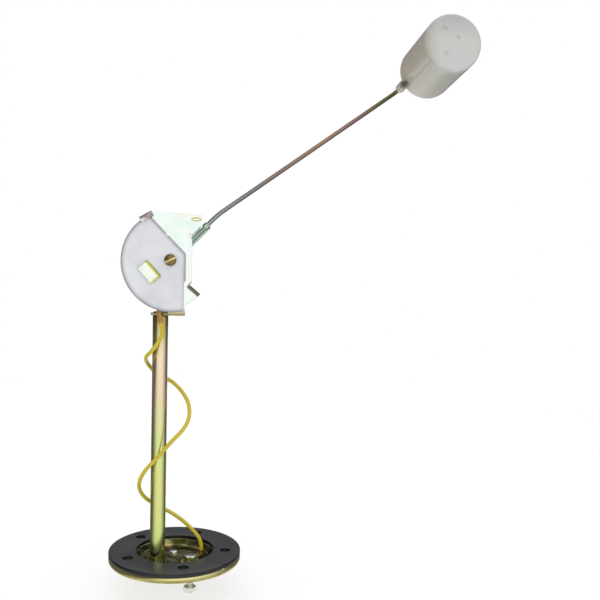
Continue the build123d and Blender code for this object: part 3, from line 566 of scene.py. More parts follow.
# The ramp by height paints the ledge's shaded underside brown.
BRACKET_LEDGE_SHADE = [(0.0, 168, 154, 112), (0.035, 226, 216, 186), (0.06, 255, 255, 255), (1.0, 255, 255, 255)]
LOWER_STOP_ANGLE = radians(46.0 - 86.0)
TAB_ANGLE = radians(-47.8)
SLOT_MIDDLE = (0.0084, 0, 0.1746)
SLOT_SCALE = (1 / 0.0027, 0, 1 / 0.0011)
shader, place = new_finish("bright_zinc_bracket", METAL)
faint_film = film(place, 110.0, 0.7, (246, 253, 250), (224, 248, 238), (248, 250, 232))
cloud = noise(place, 150.0, 3.0)
ledge_shade = ramp_along(place, "Z", BRACKET_LEDGE, BRACKET_TIP, BRACKET_LEDGE_SHADE, cloud, 0.03, -0.015)
colour = mix(1.0, faint_film, ledge_shade, "MULTIPLY")
depth, height = along_axis(place, "Y"), along_axis(place, "Z")
from_pivot = vectors("SUBTRACT", place, PIVOT * MM)

# Painted shade: olive on the edge of the lower stop.
along, across = along_and_across(from_pivot, LOWER_STOP_ANGLE)
stop_edge_shade = within((along, 0.0145, 0.0155), (across, -0.0054, -0.0046), (across, 0.001, 0.0))
colour = mix(stop_edge_shade, colour, (104, 108, 78))

# Painted shade: mauve and olive patches on the tab at the tip.
tip_shade_film = film(place, 260.0, 0.9, (150, 138, 146), (140, 140, 84), (190, 170, 178))
colour = mix(within((depth, -0.0160, -0.0168), (height, 0.1725, 0.1745)), colour, tip_shade_film)

# Painted shade: yellow on the edges of the tab on the plate's face.
along, across = along_and_across(from_pivot, TAB_ANGLE)
tab_bend = straight_step(across, -0.0106, -0.0096)
tab_end = straight_step(along, 0.0014, 0.0024)
tab_front = within((depth, -0.0174, -0.0176), (height, 0.165, 0.164))
colour = mix(product(maths("MAXIMUM", tab_bend, tab_end), tab_front), colour, (206, 204, 84))

from_slot = vectors("MULTIPLY", vectors("SUBTRACT", place, SLOT_MIDDLE), SLOT_SCALE)
round_slot = soft_step(vectors("LENGTH", from_slot), 1.1, 0.85)
colour = mix(round_slot, colour, (196, 192, 120))
# The bracket's edges get a darker yellow, painted shade.
add_surface(shader, place, colour, 1400.0, 0.24, 0.06, 0.00001, 0.00025, (176, 172, 96))

# %% [markdown]
# The arm wire shows the film best. It runs from blue-green at the bracket through
# grey and reddish brown to olive at the float, so its colour follows the distance
# along the arm, which a gradient on the object's own X gives.

# %% Arm wire zinc
WIRE_COLOURS = [
    (0.06, 150, 178, 162), (0.2, 152, 166, 154), (0.34, 134, 134, 131), (0.5, 146, 126, 115),
    (0.68, 160, 132, 115), (0.86, 148, 122, 113), (1.0, 116, 114, 80),
]
wire_low, wire_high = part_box("arm_wire")
shader, place = new_finish("zinc_wire", METAL)
cloud = noise(place, 45.0, 3.0)
along_wire = ramp_along(place, "X", wire_low.x, wire_high.x, WIRE_COLOURS, cloud, 0.16, 0.0)
add_surface(shader, place, along_wire, 1800.0, 0.34, 0.06, 0.00001)

# %% [markdown]
# Brass, steel, bronze and solder are plain metals that differ in colour and in
# how dull they are, so a table holds them: clean colour, tarnish and roughness.
# Each keeps a light mottle, finer on the thin resistance wire.

# %% Plain metals
PLAIN_METALS = {
    "tarnished_brass": ((138, 120, 78), (92, 76, 44), 0.34),
    "turned_brass": ((226, 206, 148), (176, 152, 92), 0.26),
    "tag_brass": ((180, 160, 92), (104, 88, 44), 0.34),
    "spring_steel": ((176, 178, 180), (120, 118, 116), 0.3),
    "bronze_strip": ((222, 172, 122), (170, 110, 66), 0.28),
    "silver_contact": ((238, 236, 232), (200, 194, 182), 0.16),
    "resistance_alloy": ((176, 160, 142), (110, 92, 78), 0.34),
}
for name, (clean, tarnished, roughness) in PLAIN_METALS.items():
    mottle_scale = 500.0 if name == "resistance_alloy" else 260.0
    patches = (mottle_scale, 0.7, clean, tarnished, clean)
    patchy_finish(name, METAL, patches, (2200.0, roughness, 0.1, 0.00002, 0.00015))
print("plain metals made:", len(PLAIN_METALS))

# %% [markdown]
# The plastics are dielectrics: their colour comes from inside, and their sheen
# from roughness. A second table holds the simple ones: shader settings, colour,
# drift, roughness, and the scale and depth of the grain. The rubber ring is a
# dark grey, and its upright sides get a painted shade that is nearly black.

# %% Plastics and rubber
SOFT_WHITE = {"Subsurface Weight": 0.25, "Subsurface Scale": 0.0015, "Subsurface Radius": (1.0, 0.95, 0.85)}
GLOSSY_SKIN = {"Coat Weight": 0.25, "Coat Roughness": 0.15}
MOULDINGS = {
    "soiled_nylon": (SOFT_WHITE, (150, 146, 124), (118, 114, 92), 0.42, 700.0, 0.00003),
    "brown_fibre": ({}, (118, 78, 48), (140, 98, 60), 0.6, 1600.0, 0.00003),
    "brown_sleeving": ({}, (166, 122, 48), (196, 150, 76), 0.4, 2400.0, 0.00006),
    "yellow_lead_covering": (GLOSSY_SKIN, (206, 188, 34), (186, 162, 28), 0.3, 900.0, 0.00003),
}
for name, (settings, colour, drift, roughness, grain_scale, depth) in MOULDINGS.items():
    patches = (35.0, 0.8, colour, drift, colour)
    patchy_finish(name, settings, patches, (grain_scale, roughness, 0.06, depth, 0.0004))
print("moulded finishes made:", len(MOULDINGS))

shader, place = new_finish("gasket_rubber", {"Specular IOR Level": 0.5})
colour = film(place, 35.0, 0.8, (54, 56, 58), (64, 66, 69), (56, 58, 60))
# Painted shade: the upright sides and hole walls go nearly black.
colour = mix(steep_faces(place, 0.9, 0.5), colour, (10, 12, 12))
add_surface(shader, place, colour, 500.0, 0.3, 0.06, 0.00004, 0.0004)

# %% [markdown]
# The sector plate is white, and its rim rounds off, with a painted mauve grey
# shade over its outer two millimetres. How far a spot lies inside the outline is
# the greatest of three distances: past the arc, past the right side and past the
# sloping side. A ramp over that distance paints the rim's shade.

# %% Sector plate finish
SECTOR_RADIUS = 25.8
SECTOR_CENTRE = (1.1, -0.5)
SECTOR_TIP_ANGLE = radians(117.4)
SECTOR_RIGHT = 7.8
SECTOR_VERTEX = 3.3
SLOPE_OUTWARD = (0.717, 0, 0.697)
RIM_FADE = (-0.0024, -0.0001)
RIM_PAINTED_SHADE = [(0.0, 255, 255, 255), (0.35, 244, 243, 246), (0.7, 208, 205, 212), (1.0, 158, 154, 162)]
shader, place = new_finish("white_nylon", SOFT_WHITE)
flat_place = vectors("MULTIPLY", place, (1, 0, 1))


def measured_from(x, z):
    """The object's flat place measured from a point that is given from the pivot, in millimetres."""
    return vectors("SUBTRACT", flat_place, (PIVOT + Vector((x, 0, z))) * MM)


past_arc = maths("SUBTRACT", vectors("LENGTH", measured_from(*SECTOR_CENTRE)), SECTOR_RADIUS * MM)
from_vertex = measured_from(SECTOR_RIGHT, SECTOR_VERTEX)
past_right = vectors("DOT_PRODUCT", from_vertex, (1, 0, 0))
past_slope = vectors("DOT_PRODUCT", from_vertex, SLOPE_OUTWARD)
past_any = maths("MAXIMUM", past_arc, maths("MAXIMUM", past_right, past_slope))
# Painted shade: the rim goes mauve grey.
rim_painted_shade = colour_ramp(straight_step(past_any, *RIM_FADE), RIM_PAINTED_SHADE)
plate_film = film(place, 45.0, 0.8, (220, 221, 224), (210, 211, 215), (225, 227, 230))
colour = mix(1.0, plate_film, rim_painted_shade, "MULTIPLY")
add_surface(shader, place, colour, 700.0, 0.35, 0.06, 0.00003, 0.0004)

# %% [markdown]
# The float is a milky moulding with a thin wall, so light soaks into it and its
# inside shows as a cloudy mottle. It is palest at its front end and turns a warm
# grey towards the back, with a brownish zone on its left side, and a cooler,
# darker grey on top that is painted shade. Its body and cap share this finish,
# and the ramp follows the float's own depth.

# %% Float finish
FLOAT_COLOURS = [
    (0.0, 198, 198, 196), (0.04, 196, 196, 193), (0.12, 176, 175, 167), (0.5, 178, 176, 166),
    (1.0, 188, 184, 173),
]
LEFT_AMOUNT, TOP_SHADE_AMOUNT = 0.6, 0.85
float_low, float_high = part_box("float_body")
cap_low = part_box("float_cap")[0]
shader, place = new_finish("float_moulding", {
    "Subsurface Weight": 0.4, "Subsurface Scale": 0.003, "Subsurface Radius": (1.0, 0.95, 0.8),
    "Coat Weight": 0.25, "Coat Roughness": 0.2,
})
mottle = noise(place, 160.0, 4.0, 0.6)
colour = ramp_along(place, "Y", cap_low.y, float_high.y, FLOAT_COLOURS, mottle, 0.12, -0.06)
to_left = straight_step(along_axis(place, "X"), float_low.x + 0.010, float_low.x + 0.002)
colour = mix(maths("MULTIPLY", to_left, LEFT_AMOUNT), colour, (170, 158, 140))
# Painted shade: the top of the float darker and greyer.
top_shade = straight_step(along_axis(place, "Z"), float_high.z - 0.013, float_high.z - 0.001)
colour = mix(maths("MULTIPLY", top_shade, TOP_SHADE_AMOUNT), colour, (172, 170, 170))
add_surface(shader, place, colour, 900.0, 0.2, 0.05, 0.00003, 0.0006)

# %% [markdown]
# Every solid now gets its finish. Nothing about the solids changes but the one
# material each of them carries.

# %% Finishes for the solids
FINISHES = {
    "yellow_zinc_flange": ["flange_plate"], "yellow_zinc_stem": ["stem_tube"],
    "bright_zinc_bracket": ["bracket"], "bright_zinc_lever": ["arm_lever"],
    "bright_zinc_hardware": ["terminal_screw", "terminal_nuts", "plain_washer", "earth_rivet"],
    "zinc_wire": ["arm_wire"], "gasket_rubber": ["flange_gasket"], "white_nylon": ["sector_plate"],
    "soiled_nylon": ["upper_insulator", "lower_insulator"], "float_moulding": ["float_body", "float_cap"],
    "turned_brass": ["pivot_pin", "hub_bush", "blade_rivets"],
    "tag_brass": ["winding_tag", "solder_tag", "earth_blade"],
    "spring_steel": ["pivot_clip", "drag_washer", "float_clip", "lock_washer"],
    "bronze_strip": ["wiper_blade"], "silver_contact": ["wiper_contact"],
    "resistance_alloy": ["resistance_winding"], "brown_fibre": ["resistor_former"],
    "brown_sleeving": ["lead_sleeve"], "yellow_lead_covering": ["signal_lead"],
}
for finish, names in FINISHES.items():
    for name in names:
        nodes[name].data.materials.clear()
        nodes[name].data.materials.append(finishes[finish])
print("finishes given to", sum(len(names) for names in FINISHES.values()), "solids")

# %% [markdown]
# New pieces are shaped with the modelling operators. An operator works on all
# that is selected, so these helpers first clear the selection, and pick faces,
# edges or points by a test on their place. A finished piece keeps its object at
# the origin, as the solids do, and its place in its mesh.

# %% Modelling helpers
SAME_PLACE = 0.000002


def clear_selection():
    """Leaves nothing selected, so that the next operator acts on the new piece alone."""
    bpy.ops.object.select_all(action="DESELECT")


def take(part):
    """Makes a piece the active one and the only one selected."""
    clear_selection()
    part.select_set(True)
    bpy.context.view_layer.objects.active = part


def new_piece(name, shape, **settings):
    """Adds a "circle", "cube" or other primitive as the only selected piece, and names it."""
    clear_selection()
    getattr(bpy.ops.mesh, "primitive_" + shape + "_add")(**settings)
    bpy.context.object.name = name
    return bpy.context.object


def edit_whole():
    """Opens the active piece for editing with all of it selected."""
    bpy.ops.object.mode_set(mode="EDIT")
    bpy.ops.mesh.select_all(action="SELECT")


def close_edit():
    """Goes back from editing to the object."""
    bpy.ops.object.mode_set(mode="OBJECT")


def extrude(by):
    """Extrudes what is selected by a vector in metres."""
    bpy.ops.mesh.extrude_region_move(TRANSFORM_OT_translate={"value": by})


def pick(part, kind, wanted):
    """In edit mode, selects only those "verts", "edges" or "faces" that pass a test, and counts them."""
    bpy.ops.mesh.select_mode(type={"verts": "VERT", "edges": "EDGE", "faces": "FACE"}[kind])
    bpy.ops.mesh.select_all(action="DESELECT")
    shape = bmesh.from_edit_mesh(part.data)
    chosen = [item for item in getattr(shape, kind) if wanted(item)]
    for item in chosen:
        item.select_set(True)
    shape.select_flush_mode()
    bmesh.update_edit_mesh(part.data)
    return len(chosen)


def apply_modifier(part, kind, **settings):
    """Adds a modifier, sets it up and applies it."""
    modifier = part.modifiers.new(kind.lower(), kind)
    for name, value in settings.items():
        setattr(modifier, name, value)
    bpy.context.view_layer.objects.active = part
    bpy.ops.object.modifier_apply(modifier=modifier.name)


def finish_mesh(part, smooth_angle=35.0):
    """Puts the object at the origin, merges doubles, turns faces outward and shades smooth below an angle."""
    take(part)
    bpy.ops.object.transform_apply()
    edit_whole()
    bpy.ops.mesh.remove_doubles(threshold=SAME_PLACE)
    bpy.ops.mesh.normals_make_consistent(inside=False)
    close_edit()
    bpy.ops.object.shade_smooth_by_angle(angle=radians(smooth_angle))


def dress(part, body, solid):
    """Gives a piece its body and that solid's finish unless it has its own, and hides the solid it stands
    for.
    """
    if not part.data.materials:
        part.data.materials.append(nodes[solid].data.materials[0])
    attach(part, body)
    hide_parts(solid)
    part.select_set(False)
    part.data.calc_loop_triangles()
    print(part.name, "has", len(part.data.loop_triangles), "triangles and stands for", solid)


# %% [markdown]
# Most of these pieces are turned or pressed round, so one helper does what a
# hand would do: it adds a circle, then extrudes it from ring to ring and scales
# each new ring. A profile is a list of radius and height in millimetres, and an
# arc helper fills in its rounded corners.

# %% Round pieces
def corner_arc(centre_radius, centre_height, radius, start, end, steps=5):
    """Points of a profile along an arc, angles in degrees from the outward direction towards up."""
    points = []
    for step in range(steps + 1):
        angle = radians(start + (end - start) * step / steps)
        points.append((centre_radius + radius * cos(angle), centre_height + radius * sin(angle)))
    return points


def turned_piece(name, profile, place=(0, 0, 0), turn=(0, 0, 0), closed=False, segments=96):
    """Extrudes a circle from ring to ring. A closed profile makes a ring, an open one has capped ends."""
    radius, height = profile[0]
    part = new_piece(
        name, "circle", vertices=segments, radius=radius * MM, fill_type="NOTHING" if closed else "NGON",
    )
    edit_whole()
    bpy.ops.mesh.select_mode(type="EDGE")
    bpy.ops.transform.translate(value=(0, 0, height * MM))
    for next_radius, next_height in profile[1:] + (profile[:1] if closed else []):
        extrude((0, 0, (next_height - height) * MM))
        share = next_radius / radius
        bpy.ops.transform.resize(value=(share, share, 1), center_override=(0, 0, 0))
        radius, height = next_radius, next_height
    close_edit()
    part.rotation_euler = turn
    part.location = Vector(place) * MM
    finish_mesh(part)
    return part


def middle_of(node):
    """The middle of a solid's box, in millimetres."""
    low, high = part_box(node)
    return (low + high) / 2 / MM


def cut_with(part, cutter, operation="DIFFERENCE"):
    """Cuts a piece with another one, or keeps what they share, and removes the other."""
    apply_modifier(part, "BOOLEAN", operation=operation, object=cutter, solver="EXACT")
    bpy.data.objects.remove(cutter)


def cut_block(part, place, size, turn=(0, 0, 0)):
    """Cuts a block out of a piece, with its middle and sides in millimetres."""
    cut_with(part, new_piece(
        "block", "cube", size=1, location=Vector(place) * MM, rotation=turn, scale=Vector(size) * MM,
    ))


def drill(part, places, radius, low, high, sides=32):
    """Cuts round upright holes through a piece, at places in millimetres."""
    for x, y in places:
        cut_with(part, new_piece(
            "bit", "cylinder", vertices=sides, radius=radius * MM, depth=(high - low) * MM,
            location=(x * MM, y * MM, (low + high) / 2 * MM),
        ))


def soften(part, width, angle=30.0, segments=2):
    """Rounds every edge that is sharper than an angle."""
    apply_modifier(
        part, "BEVEL", width=width * MM, segments=segments, limit_method="ANGLE", angle_limit=radians(angle),
        use_clamp_overlap=True, harden_normals=False,
    )


# %% [markdown]
# The flange plate is a pressing, so no bend on it is sharp: the dish rolls into
# the face, and the rim rolls down. Those soft bends help draw the long bright line
# along the rim, which its finish also paints as a highlight. It is turned as one
# shell, then drilled like the real one.

# %% Flange plate
FLANGE_RADIUS = 35.0
PLATE_TOP = -1.8
PLATE_THICK = 1.6
RIM_LOW = -4.8
DISH_FLOOR = -4.8
DISH_FLOOR_RADIUS = 18.7
DISH_MOUTH_RADIUS = 20.0
BEND_OUT = 1.8
BOLT_CIRCLE_RADIUS = 27.0
BOLT_HOLE_RADIUS = 2.75
BOLT_COUNT = 5
BOLT_PHASE = -9.0
TERMINAL = tuple(middle_of("terminal_screw"))[:2]
TERMINAL_HOLE_RADIUS = 2.95
EARTH = (-0.8, 7.5)
EARTH_HOLE_RADIUS = 1.55


def round_places(radius, count, phase):
    """Places in millimetres spaced evenly round a circle."""
    angles = [radians(phase + 360 * number / count) for number in range(count)]
    return [(radius * cos(angle), radius * sin(angle)) for angle in angles]


BOLT_PLACES = round_places(BOLT_CIRCLE_RADIUS, BOLT_COUNT, BOLT_PHASE)
plate_profile = [
    (0.5, DISH_FLOOR),
    *corner_arc(DISH_FLOOR_RADIUS - 1.0, DISH_FLOOR + 1.0, 1.0, -90, -24),
    *corner_arc(DISH_MOUTH_RADIUS + 0.9, PLATE_TOP - 0.9, 0.9, 156, 90),
    *corner_arc(FLANGE_RADIUS - BEND_OUT, PLATE_TOP - BEND_OUT, BEND_OUT, 90, 0, 8),
    (FLANGE_RADIUS, RIM_LOW + 0.35), (FLANGE_RADIUS - 0.12, RIM_LOW + 0.1), (FLANGE_RADIUS - 0.4, RIM_LOW),
    (FLANGE_RADIUS - PLATE_THICK + 0.2, RIM_LOW), (FLANGE_RADIUS - PLATE_THICK, RIM_LOW + 0.2),
    (FLANGE_RADIUS - PLATE_THICK, PLATE_TOP - PLATE_THICK - 0.4),
    (FLANGE_RADIUS - PLATE_THICK - 0.4, PLATE_TOP - PLATE_THICK),
    *corner_arc(DISH_MOUTH_RADIUS + 2.5, PLATE_TOP - PLATE_THICK - 0.9, 0.9, 90, 156),
    *corner_arc(DISH_FLOOR_RADIUS, DISH_FLOOR - PLATE_THICK + 1.6, 1.6, -24, -90),
    (0.5, DISH_FLOOR - PLATE_THICK),
]
pressed_flange = turned_piece("pressed_flange", plate_profile, segments=128)
drill(pressed_flange, BOLT_PLACES, BOLT_HOLE_RADIUS, RIM_LOW - 1, PLATE_TOP + 1)
for place, radius in ((TERMINAL, TERMINAL_HOLE_RADIUS), (EARTH, EARTH_HOLE_RADIUS)):
    drill(pressed_flange, [place], radius, DISH_FLOOR - 3, DISH_FLOOR + 1)
finish_mesh(pressed_flange)
dress(pressed_flange, "stem_unit", "flange_plate")

# %% [markdown]
# The gasket is a cut rubber ring. A die leaves its edges slightly rounded over,
# and it has its five holes and one small notch in its outer edge.

# %% Gasket
GASKET_BORE_RADIUS = 20.5
GASKET_EDGE = 0.3
NOTCH_ANGLE = radians(-43.4)
NOTCH_RADIUS = 1.3
gasket_profile = [
    (GASKET_BORE_RADIUS, PLATE_TOP + 0.15),
    (GASKET_BORE_RADIUS, -GASKET_EDGE),
    *corner_arc(GASKET_BORE_RADIUS + GASKET_EDGE, -GASKET_EDGE, GASKET_EDGE, 180, 90, 3)[1:],
    *corner_arc(FLANGE_RADIUS - GASKET_EDGE, -GASKET_EDGE, GASKET_EDGE, 90, 0, 3),
    (FLANGE_RADIUS, PLATE_TOP + 0.15), (FLANGE_RADIUS - 0.15, PLATE_TOP),
    (GASKET_BORE_RADIUS + 0.15, PLATE_TOP),
]
rubber_ring = turned_piece("rubber_ring", gasket_profile, closed=True, segments=128)
drill(rubber_ring, BOLT_PLACES, BOLT_HOLE_RADIUS, PLATE_TOP - 1, 1)
notch_place = (FLANGE_RADIUS * cos(NOTCH_ANGLE), FLANGE_RADIUS * sin(NOTCH_ANGLE))
drill(rubber_ring, [notch_place], NOTCH_RADIUS, PLATE_TOP - 1, 1)
finish_mesh(rubber_ring, 30)
dress(rubber_ring, "stem_unit", "flange_gasket")

# %% [markdown]
# The stem is a tube with its foot upset into a small flange and brazed down, so a
# fillet of braze climbs the first millimetre. Its neck is rolled over the ledge.

# %% Stem tube
STEM_PLACE = tuple(middle_of("stem_tube"))[:2]
foot, lip = (corner.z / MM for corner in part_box("stem_tube"))
STEM_RADIUS = 4.0
STEM_BORE = 3.2
STEM_TOP = 125.5
NECK_RADIUS, NECK_BORE = 2.9, 2.1
LEDGE_TOP = 126.7
stem_profile = [
    (STEM_BORE, foot), (5.1, foot), (5.2, foot + 0.1), (5.15, foot + 0.35),
    *corner_arc(5.05, foot + 1.45, 1.05, -90, -180, 6), (STEM_RADIUS, foot + 2.6),
    (STEM_RADIUS, STEM_TOP - 0.5), *corner_arc(STEM_RADIUS - 0.5, STEM_TOP - 0.5, 0.5, 0, 90, 4),
    (NECK_RADIUS, STEM_TOP), (NECK_RADIUS, LEDGE_TOP), (3.6, LEDGE_TOP), (3.7, LEDGE_TOP + 0.15),
    (3.65, lip - 0.2), (3.4, lip), (2.4, lip), (NECK_BORE, lip - 0.2), (NECK_BORE, STEM_TOP - 0.8),
    (STEM_BORE, STEM_TOP - 1.6),
]
stem = turned_piece("stem", stem_profile, (*STEM_PLACE, 0), closed=True, segments=64)
dress(stem, "stem_unit", "stem_tube")

# %% [markdown]
# The arm is one piece of wire, bent twice. A hand would draw it by extruding a
# circle along each straight run and spinning it round each bend, so that is what
# this does, and the bends come out truly round.

# %% Arm wire
WIRE_RADIUS = 1.15
ARM_ANGLE = radians(46.0)
WIRE_DEPTH = -12.2
FLOAT_PIN = Vector((121.9, 9.8, 254.4))
FLOAT_TILT = radians(4.0)
WIRE_ASIDE = -0.5
FLOAT_BACKWARD = Vector((0, cos(FLOAT_TILT), -sin(FLOAT_TILT)))


def along_arm(distance):
    """A place on the arm wire's inner run, which lies a little aside of the pivot's line."""
    return Vector((
        PIVOT.x + distance * cos(ARM_ANGLE) - WIRE_ASIDE * sin(ARM_ANGLE), WIRE_DEPTH,
        PIVOT.z + distance * sin(ARM_ANGLE) + WIRE_ASIDE * cos(ARM_ANGLE),
    ))


WIRE_CORNERS = [
    along_arm(5.4), along_arm(34.0), FLOAT_PIN + 7.2 * FLOAT_BACKWARD, FLOAT_PIN - 5.0 * FLOAT_BACKWARD,
]
WIRE_BENDS = [30.0, 3.0]


def bent_wire(name, corners, bends, radius, sides=24):
    """Draws a wire from its corners and the radius of each bend, in millimetres."""
    heading = (corners[1] - corners[0]).normalized()
    part = new_piece(name, "circle", vertices=sides, radius=radius * MM, fill_type="NGON")
    facing = heading.to_track_quat("Z", "Y").to_matrix().to_4x4()
    part.matrix_world = Matrix.Translation(corners[0] * MM) @ facing
    bpy.ops.object.transform_apply()
    edit_whole()
    bpy.ops.mesh.select_mode(type="EDGE")
    place = corners[0]
    for number, corner in enumerate(corners[1:-1]):
        onward = (corners[number + 2] - corner).normalized()
        turn = heading.angle(onward)
        bend_start = corner - heading * bends[number] * tan(turn / 2)
        extrude((bend_start - place) * MM)
        axis = heading.cross(onward).normalized()
        centre = bend_start + axis.cross(heading) * bends[number]
        steps = max(8, round(turn / radians(4)))
        bpy.ops.mesh.spin(steps=steps, angle=-turn, center=centre * MM, axis=axis)
        place = centre + Matrix.Rotation(turn, 3, axis) @ (bend_start - centre)
        heading = onward
    extrude((corners[-1] - place) * MM)
    close_edit()
    finish_mesh(part, 60)
    return part


float_arm = bent_wire("float_arm", WIRE_CORNERS, WIRE_BENDS, WIRE_RADIUS)
soften(float_arm, 0.25, 60)
dress(float_arm, "arm", "arm_wire")

# %% [markdown]
# The pivot pin is turned brass with a domed head, sawn across for its slot. Its
# head is the part's darkest spot of colour: the domes have tarnished brown and
# only the saw cut is bright, so the faces of the cut get a material of their own.

# %% Pivot pin
HEAD_RADIUS = 3.0
HEAD_THICK = 1.6
PIN_RADIUS = 2.0
SLOT_WIDTH = 0.9
SLOT_DEPTH = 0.8
SLOT_ANGLE = radians(27.0)
GROOVE_RADIUS = 1.5
pin_front, tail = (-corner.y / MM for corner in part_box("pivot_pin"))
head_back = pin_front - HEAD_THICK
DOME = [(2.93, 0.75), (2.72, 1.0), (2.35, 1.22), (1.8, 1.42), (1.1, 1.55)]
pin_profile = [
    (0.3, tail), (PIN_RADIUS - 0.25, tail), (PIN_RADIUS, tail + 0.25), (PIN_RADIUS, tail + 0.95),
    (GROOVE_RADIUS, tail + 0.95), (GROOVE_RADIUS, tail + 1.6), (PIN_RADIUS, tail + 1.6),
    (PIN_RADIUS, head_back), (HEAD_RADIUS - 0.1, head_back), (HEAD_RADIUS, head_back + 0.1),
    (HEAD_RADIUS, head_back + 0.5),
    *[(radius, head_back + rise) for radius, rise in DOME], (0.3, pin_front),
]
TOWARDS_CAMERA = (pi / 2, 0, 0)
slotted_pin = turned_piece("slotted_pin", pin_profile, PIVOT, TOWARDS_CAMERA, segments=48)
saw_middle = (PIVOT.x, -(pin_front - SLOT_DEPTH + 1.0), PIVOT.z)
cut_block(slotted_pin, saw_middle, (8, 2, SLOT_WIDTH), (0, -SLOT_ANGLE, 0))
for finish in ("tarnished_brass", "turned_brass"):
    slotted_pin.data.materials.append(finishes[finish])


def in_saw_cut(face):
    """True for the floor and walls of the slot."""
    middle = face.calc_center_median() / MM
    off_line = (middle.z - PIVOT.z) * cos(SLOT_ANGLE) - (middle.x - PIVOT.x) * sin(SLOT_ANGLE)
    return -middle.y > pin_front - SLOT_DEPTH - 0.05 and abs(off_line) < SLOT_WIDTH / 2 + 0.05


take(slotted_pin)
edit_whole()
print("faces in the saw cut:", pick(slotted_pin, "faces", in_saw_cut))
slotted_pin.active_material_index = 1
bpy.ops.object.material_slot_assign()
close_edit()
finish_mesh(slotted_pin)
dress(slotted_pin, "arm", "pivot_pin")

# %% [markdown]
# The sector plate is a flat moulding with one round side and two straight ones.
# It starts as a filled circle, which bisecting planes trim to the straight sides.
# Bevelling two points rounds the corners, extruding gives it its thickness, and
# bevelling its front edge gives the soft rim, on which its finish paints a grey
# line of shade.

# %% Sector plate
SECTOR_LOWER_RIGHT = 7.0
SECTOR_STEP = -11.1
SECTOR_BACK_DEPTH = 15.5
SECTOR_THICK = 2.0
SECTOR_RIM = 0.95
centre = Vector((*SECTOR_CENTRE, 0))
tip = centre + SECTOR_RADIUS * Vector((cos(SECTOR_TIP_ANGLE), sin(SECTOR_TIP_ANGLE), 0))
vertex = Vector((SECTOR_RIGHT, SECTOR_VERTEX, 0))
slope = (tip - vertex).normalized()
sector = new_piece("sector", "circle", vertices=144, radius=SECTOR_RADIUS * MM, fill_type="NGON")
edit_whole()
bpy.ops.transform.translate(value=centre * MM)
for point, outward in ((vertex, (1, 0, 0)), (vertex, (slope.y, -slope.x, 0))):
    bpy.ops.mesh.select_all(action="SELECT")
    bpy.ops.mesh.bisect(plane_co=point * MM, plane_no=outward, clear_outer=True, use_fill=False)
for corner, rounding in ((tip, 0.7), (vertex, 0.6)):
    pick(sector, "verts", lambda vert: (vert.co - corner * MM).length < 0.0003)
    bpy.ops.mesh.bevel(offset=rounding * MM, segments=4, affect="VERTICES")
bpy.ops.mesh.select_mode(type="FACE")
bpy.ops.mesh.select_all(action="SELECT")
extrude((0, 0, SECTOR_THICK * MM))
bpy.ops.mesh.select_all(action="SELECT")
bpy.ops.mesh.normals_make_consistent(inside=False)
close_edit()
cut_block(sector, (SECTOR_LOWER_RIGHT + 2, SECTOR_STEP - 10, 0), (4, 20.8, 10))
take(sector)
edit_whole()
front = SECTOR_THICK * MM
front_edges = pick(sector, "edges", lambda edge: all(abs(vert.co.z - front) < 1e-6 for vert in edge.verts))
bpy.ops.mesh.bevel(offset=SECTOR_RIM * MM, segments=6, affect="EDGES", clamp_overlap=True)
close_edit()
print("front edges of the sector plate rounded:", front_edges)

# %% [markdown]
# The plate has a hole for the pin, a small one near its sloping side, and a slot
# through which the bracket's tab comes. Cutters in the same flat lie make them,
# and then the plate is stood up to face the camera.

# %% Holes in the sector plate
SMALL_HOLE, SMALL_HOLE_RADIUS = (-1.3, 13.1), 0.9
TAB_SLOT_MIDDLE = Vector((-2.36, -9.53, 0))
TAB_SLOT_SIZE = (10.5, 1.6, 10)
for place, radius in (((0, 0), PIN_RADIUS + 0.05), (SMALL_HOLE, SMALL_HOLE_RADIUS)):
    drill(sector, [place], radius, -1, SECTOR_THICK + 1)
slot_place = Matrix.Rotation(TAB_ANGLE, 3, "Z") @ TAB_SLOT_MIDDLE
cut_block(sector, slot_place, TAB_SLOT_SIZE, (0, 0, TAB_ANGLE))
sector.rotation_euler = TOWARDS_CAMERA
sector.location = Vector((PIVOT.x, -SECTOR_BACK_DEPTH, PIVOT.z)) * MM
finish_mesh(sector, 30)
dress(sector, "stem_unit", "sector_plate")

# %% [markdown]
# Screw heads and nuts are hexagons whose corners a cone has cut away. So each is
# a six-sided cylinder of which only the part inside a turned blank is kept.

# %% Terminal screw and nuts
ACROSS_FLATS = 6.0
HEX_CORNER = ACROSS_FLATS / 2 / cos(pi / 6)
HEAD_LOW = -3.0
HEAD_HIGH = -0.6
NUT_TOPS = (-9.4, -17.1)
NUT_THICK = 2.8
THREAD_CREST = 1.75
THREAD_ROOT = 1.42
THREAD_PITCH = 0.7
THREAD_END = -20.6


def hexagon(name, low, high, cut_low, cut_high):
    """A hexagon on the terminal's axis, with its corners cut by a cone below, above or both."""
    part = new_piece(
        name, "cylinder", vertices=6, radius=HEX_CORNER * MM, depth=(high - low) * MM,
        rotation=(0, 0, pi / 6), location=(TERMINAL[0] * MM, TERMINAL[1] * MM, (low + high) / 2 * MM),
    )
    rim = HEX_CORNER + 0.05
    cut_rim = ACROSS_FLATS / 2 - 0.1
    blank = turned_piece("blank", [
        (0.2, low), (cut_rim if cut_low else rim, low), (rim, low + 0.35), (rim, high - 0.35),
        (cut_rim if cut_high else rim, high), (0.2, high),
    ], (*TERMINAL, 0), segments=64)
    cut_with(part, blank, "INTERSECT")
    return part


def join_pieces(parts):
    """Joins pieces into the first of them."""
    take(parts[0])
    for part in parts:
        part.select_set(True)
    bpy.ops.object.join()
    return parts[0]


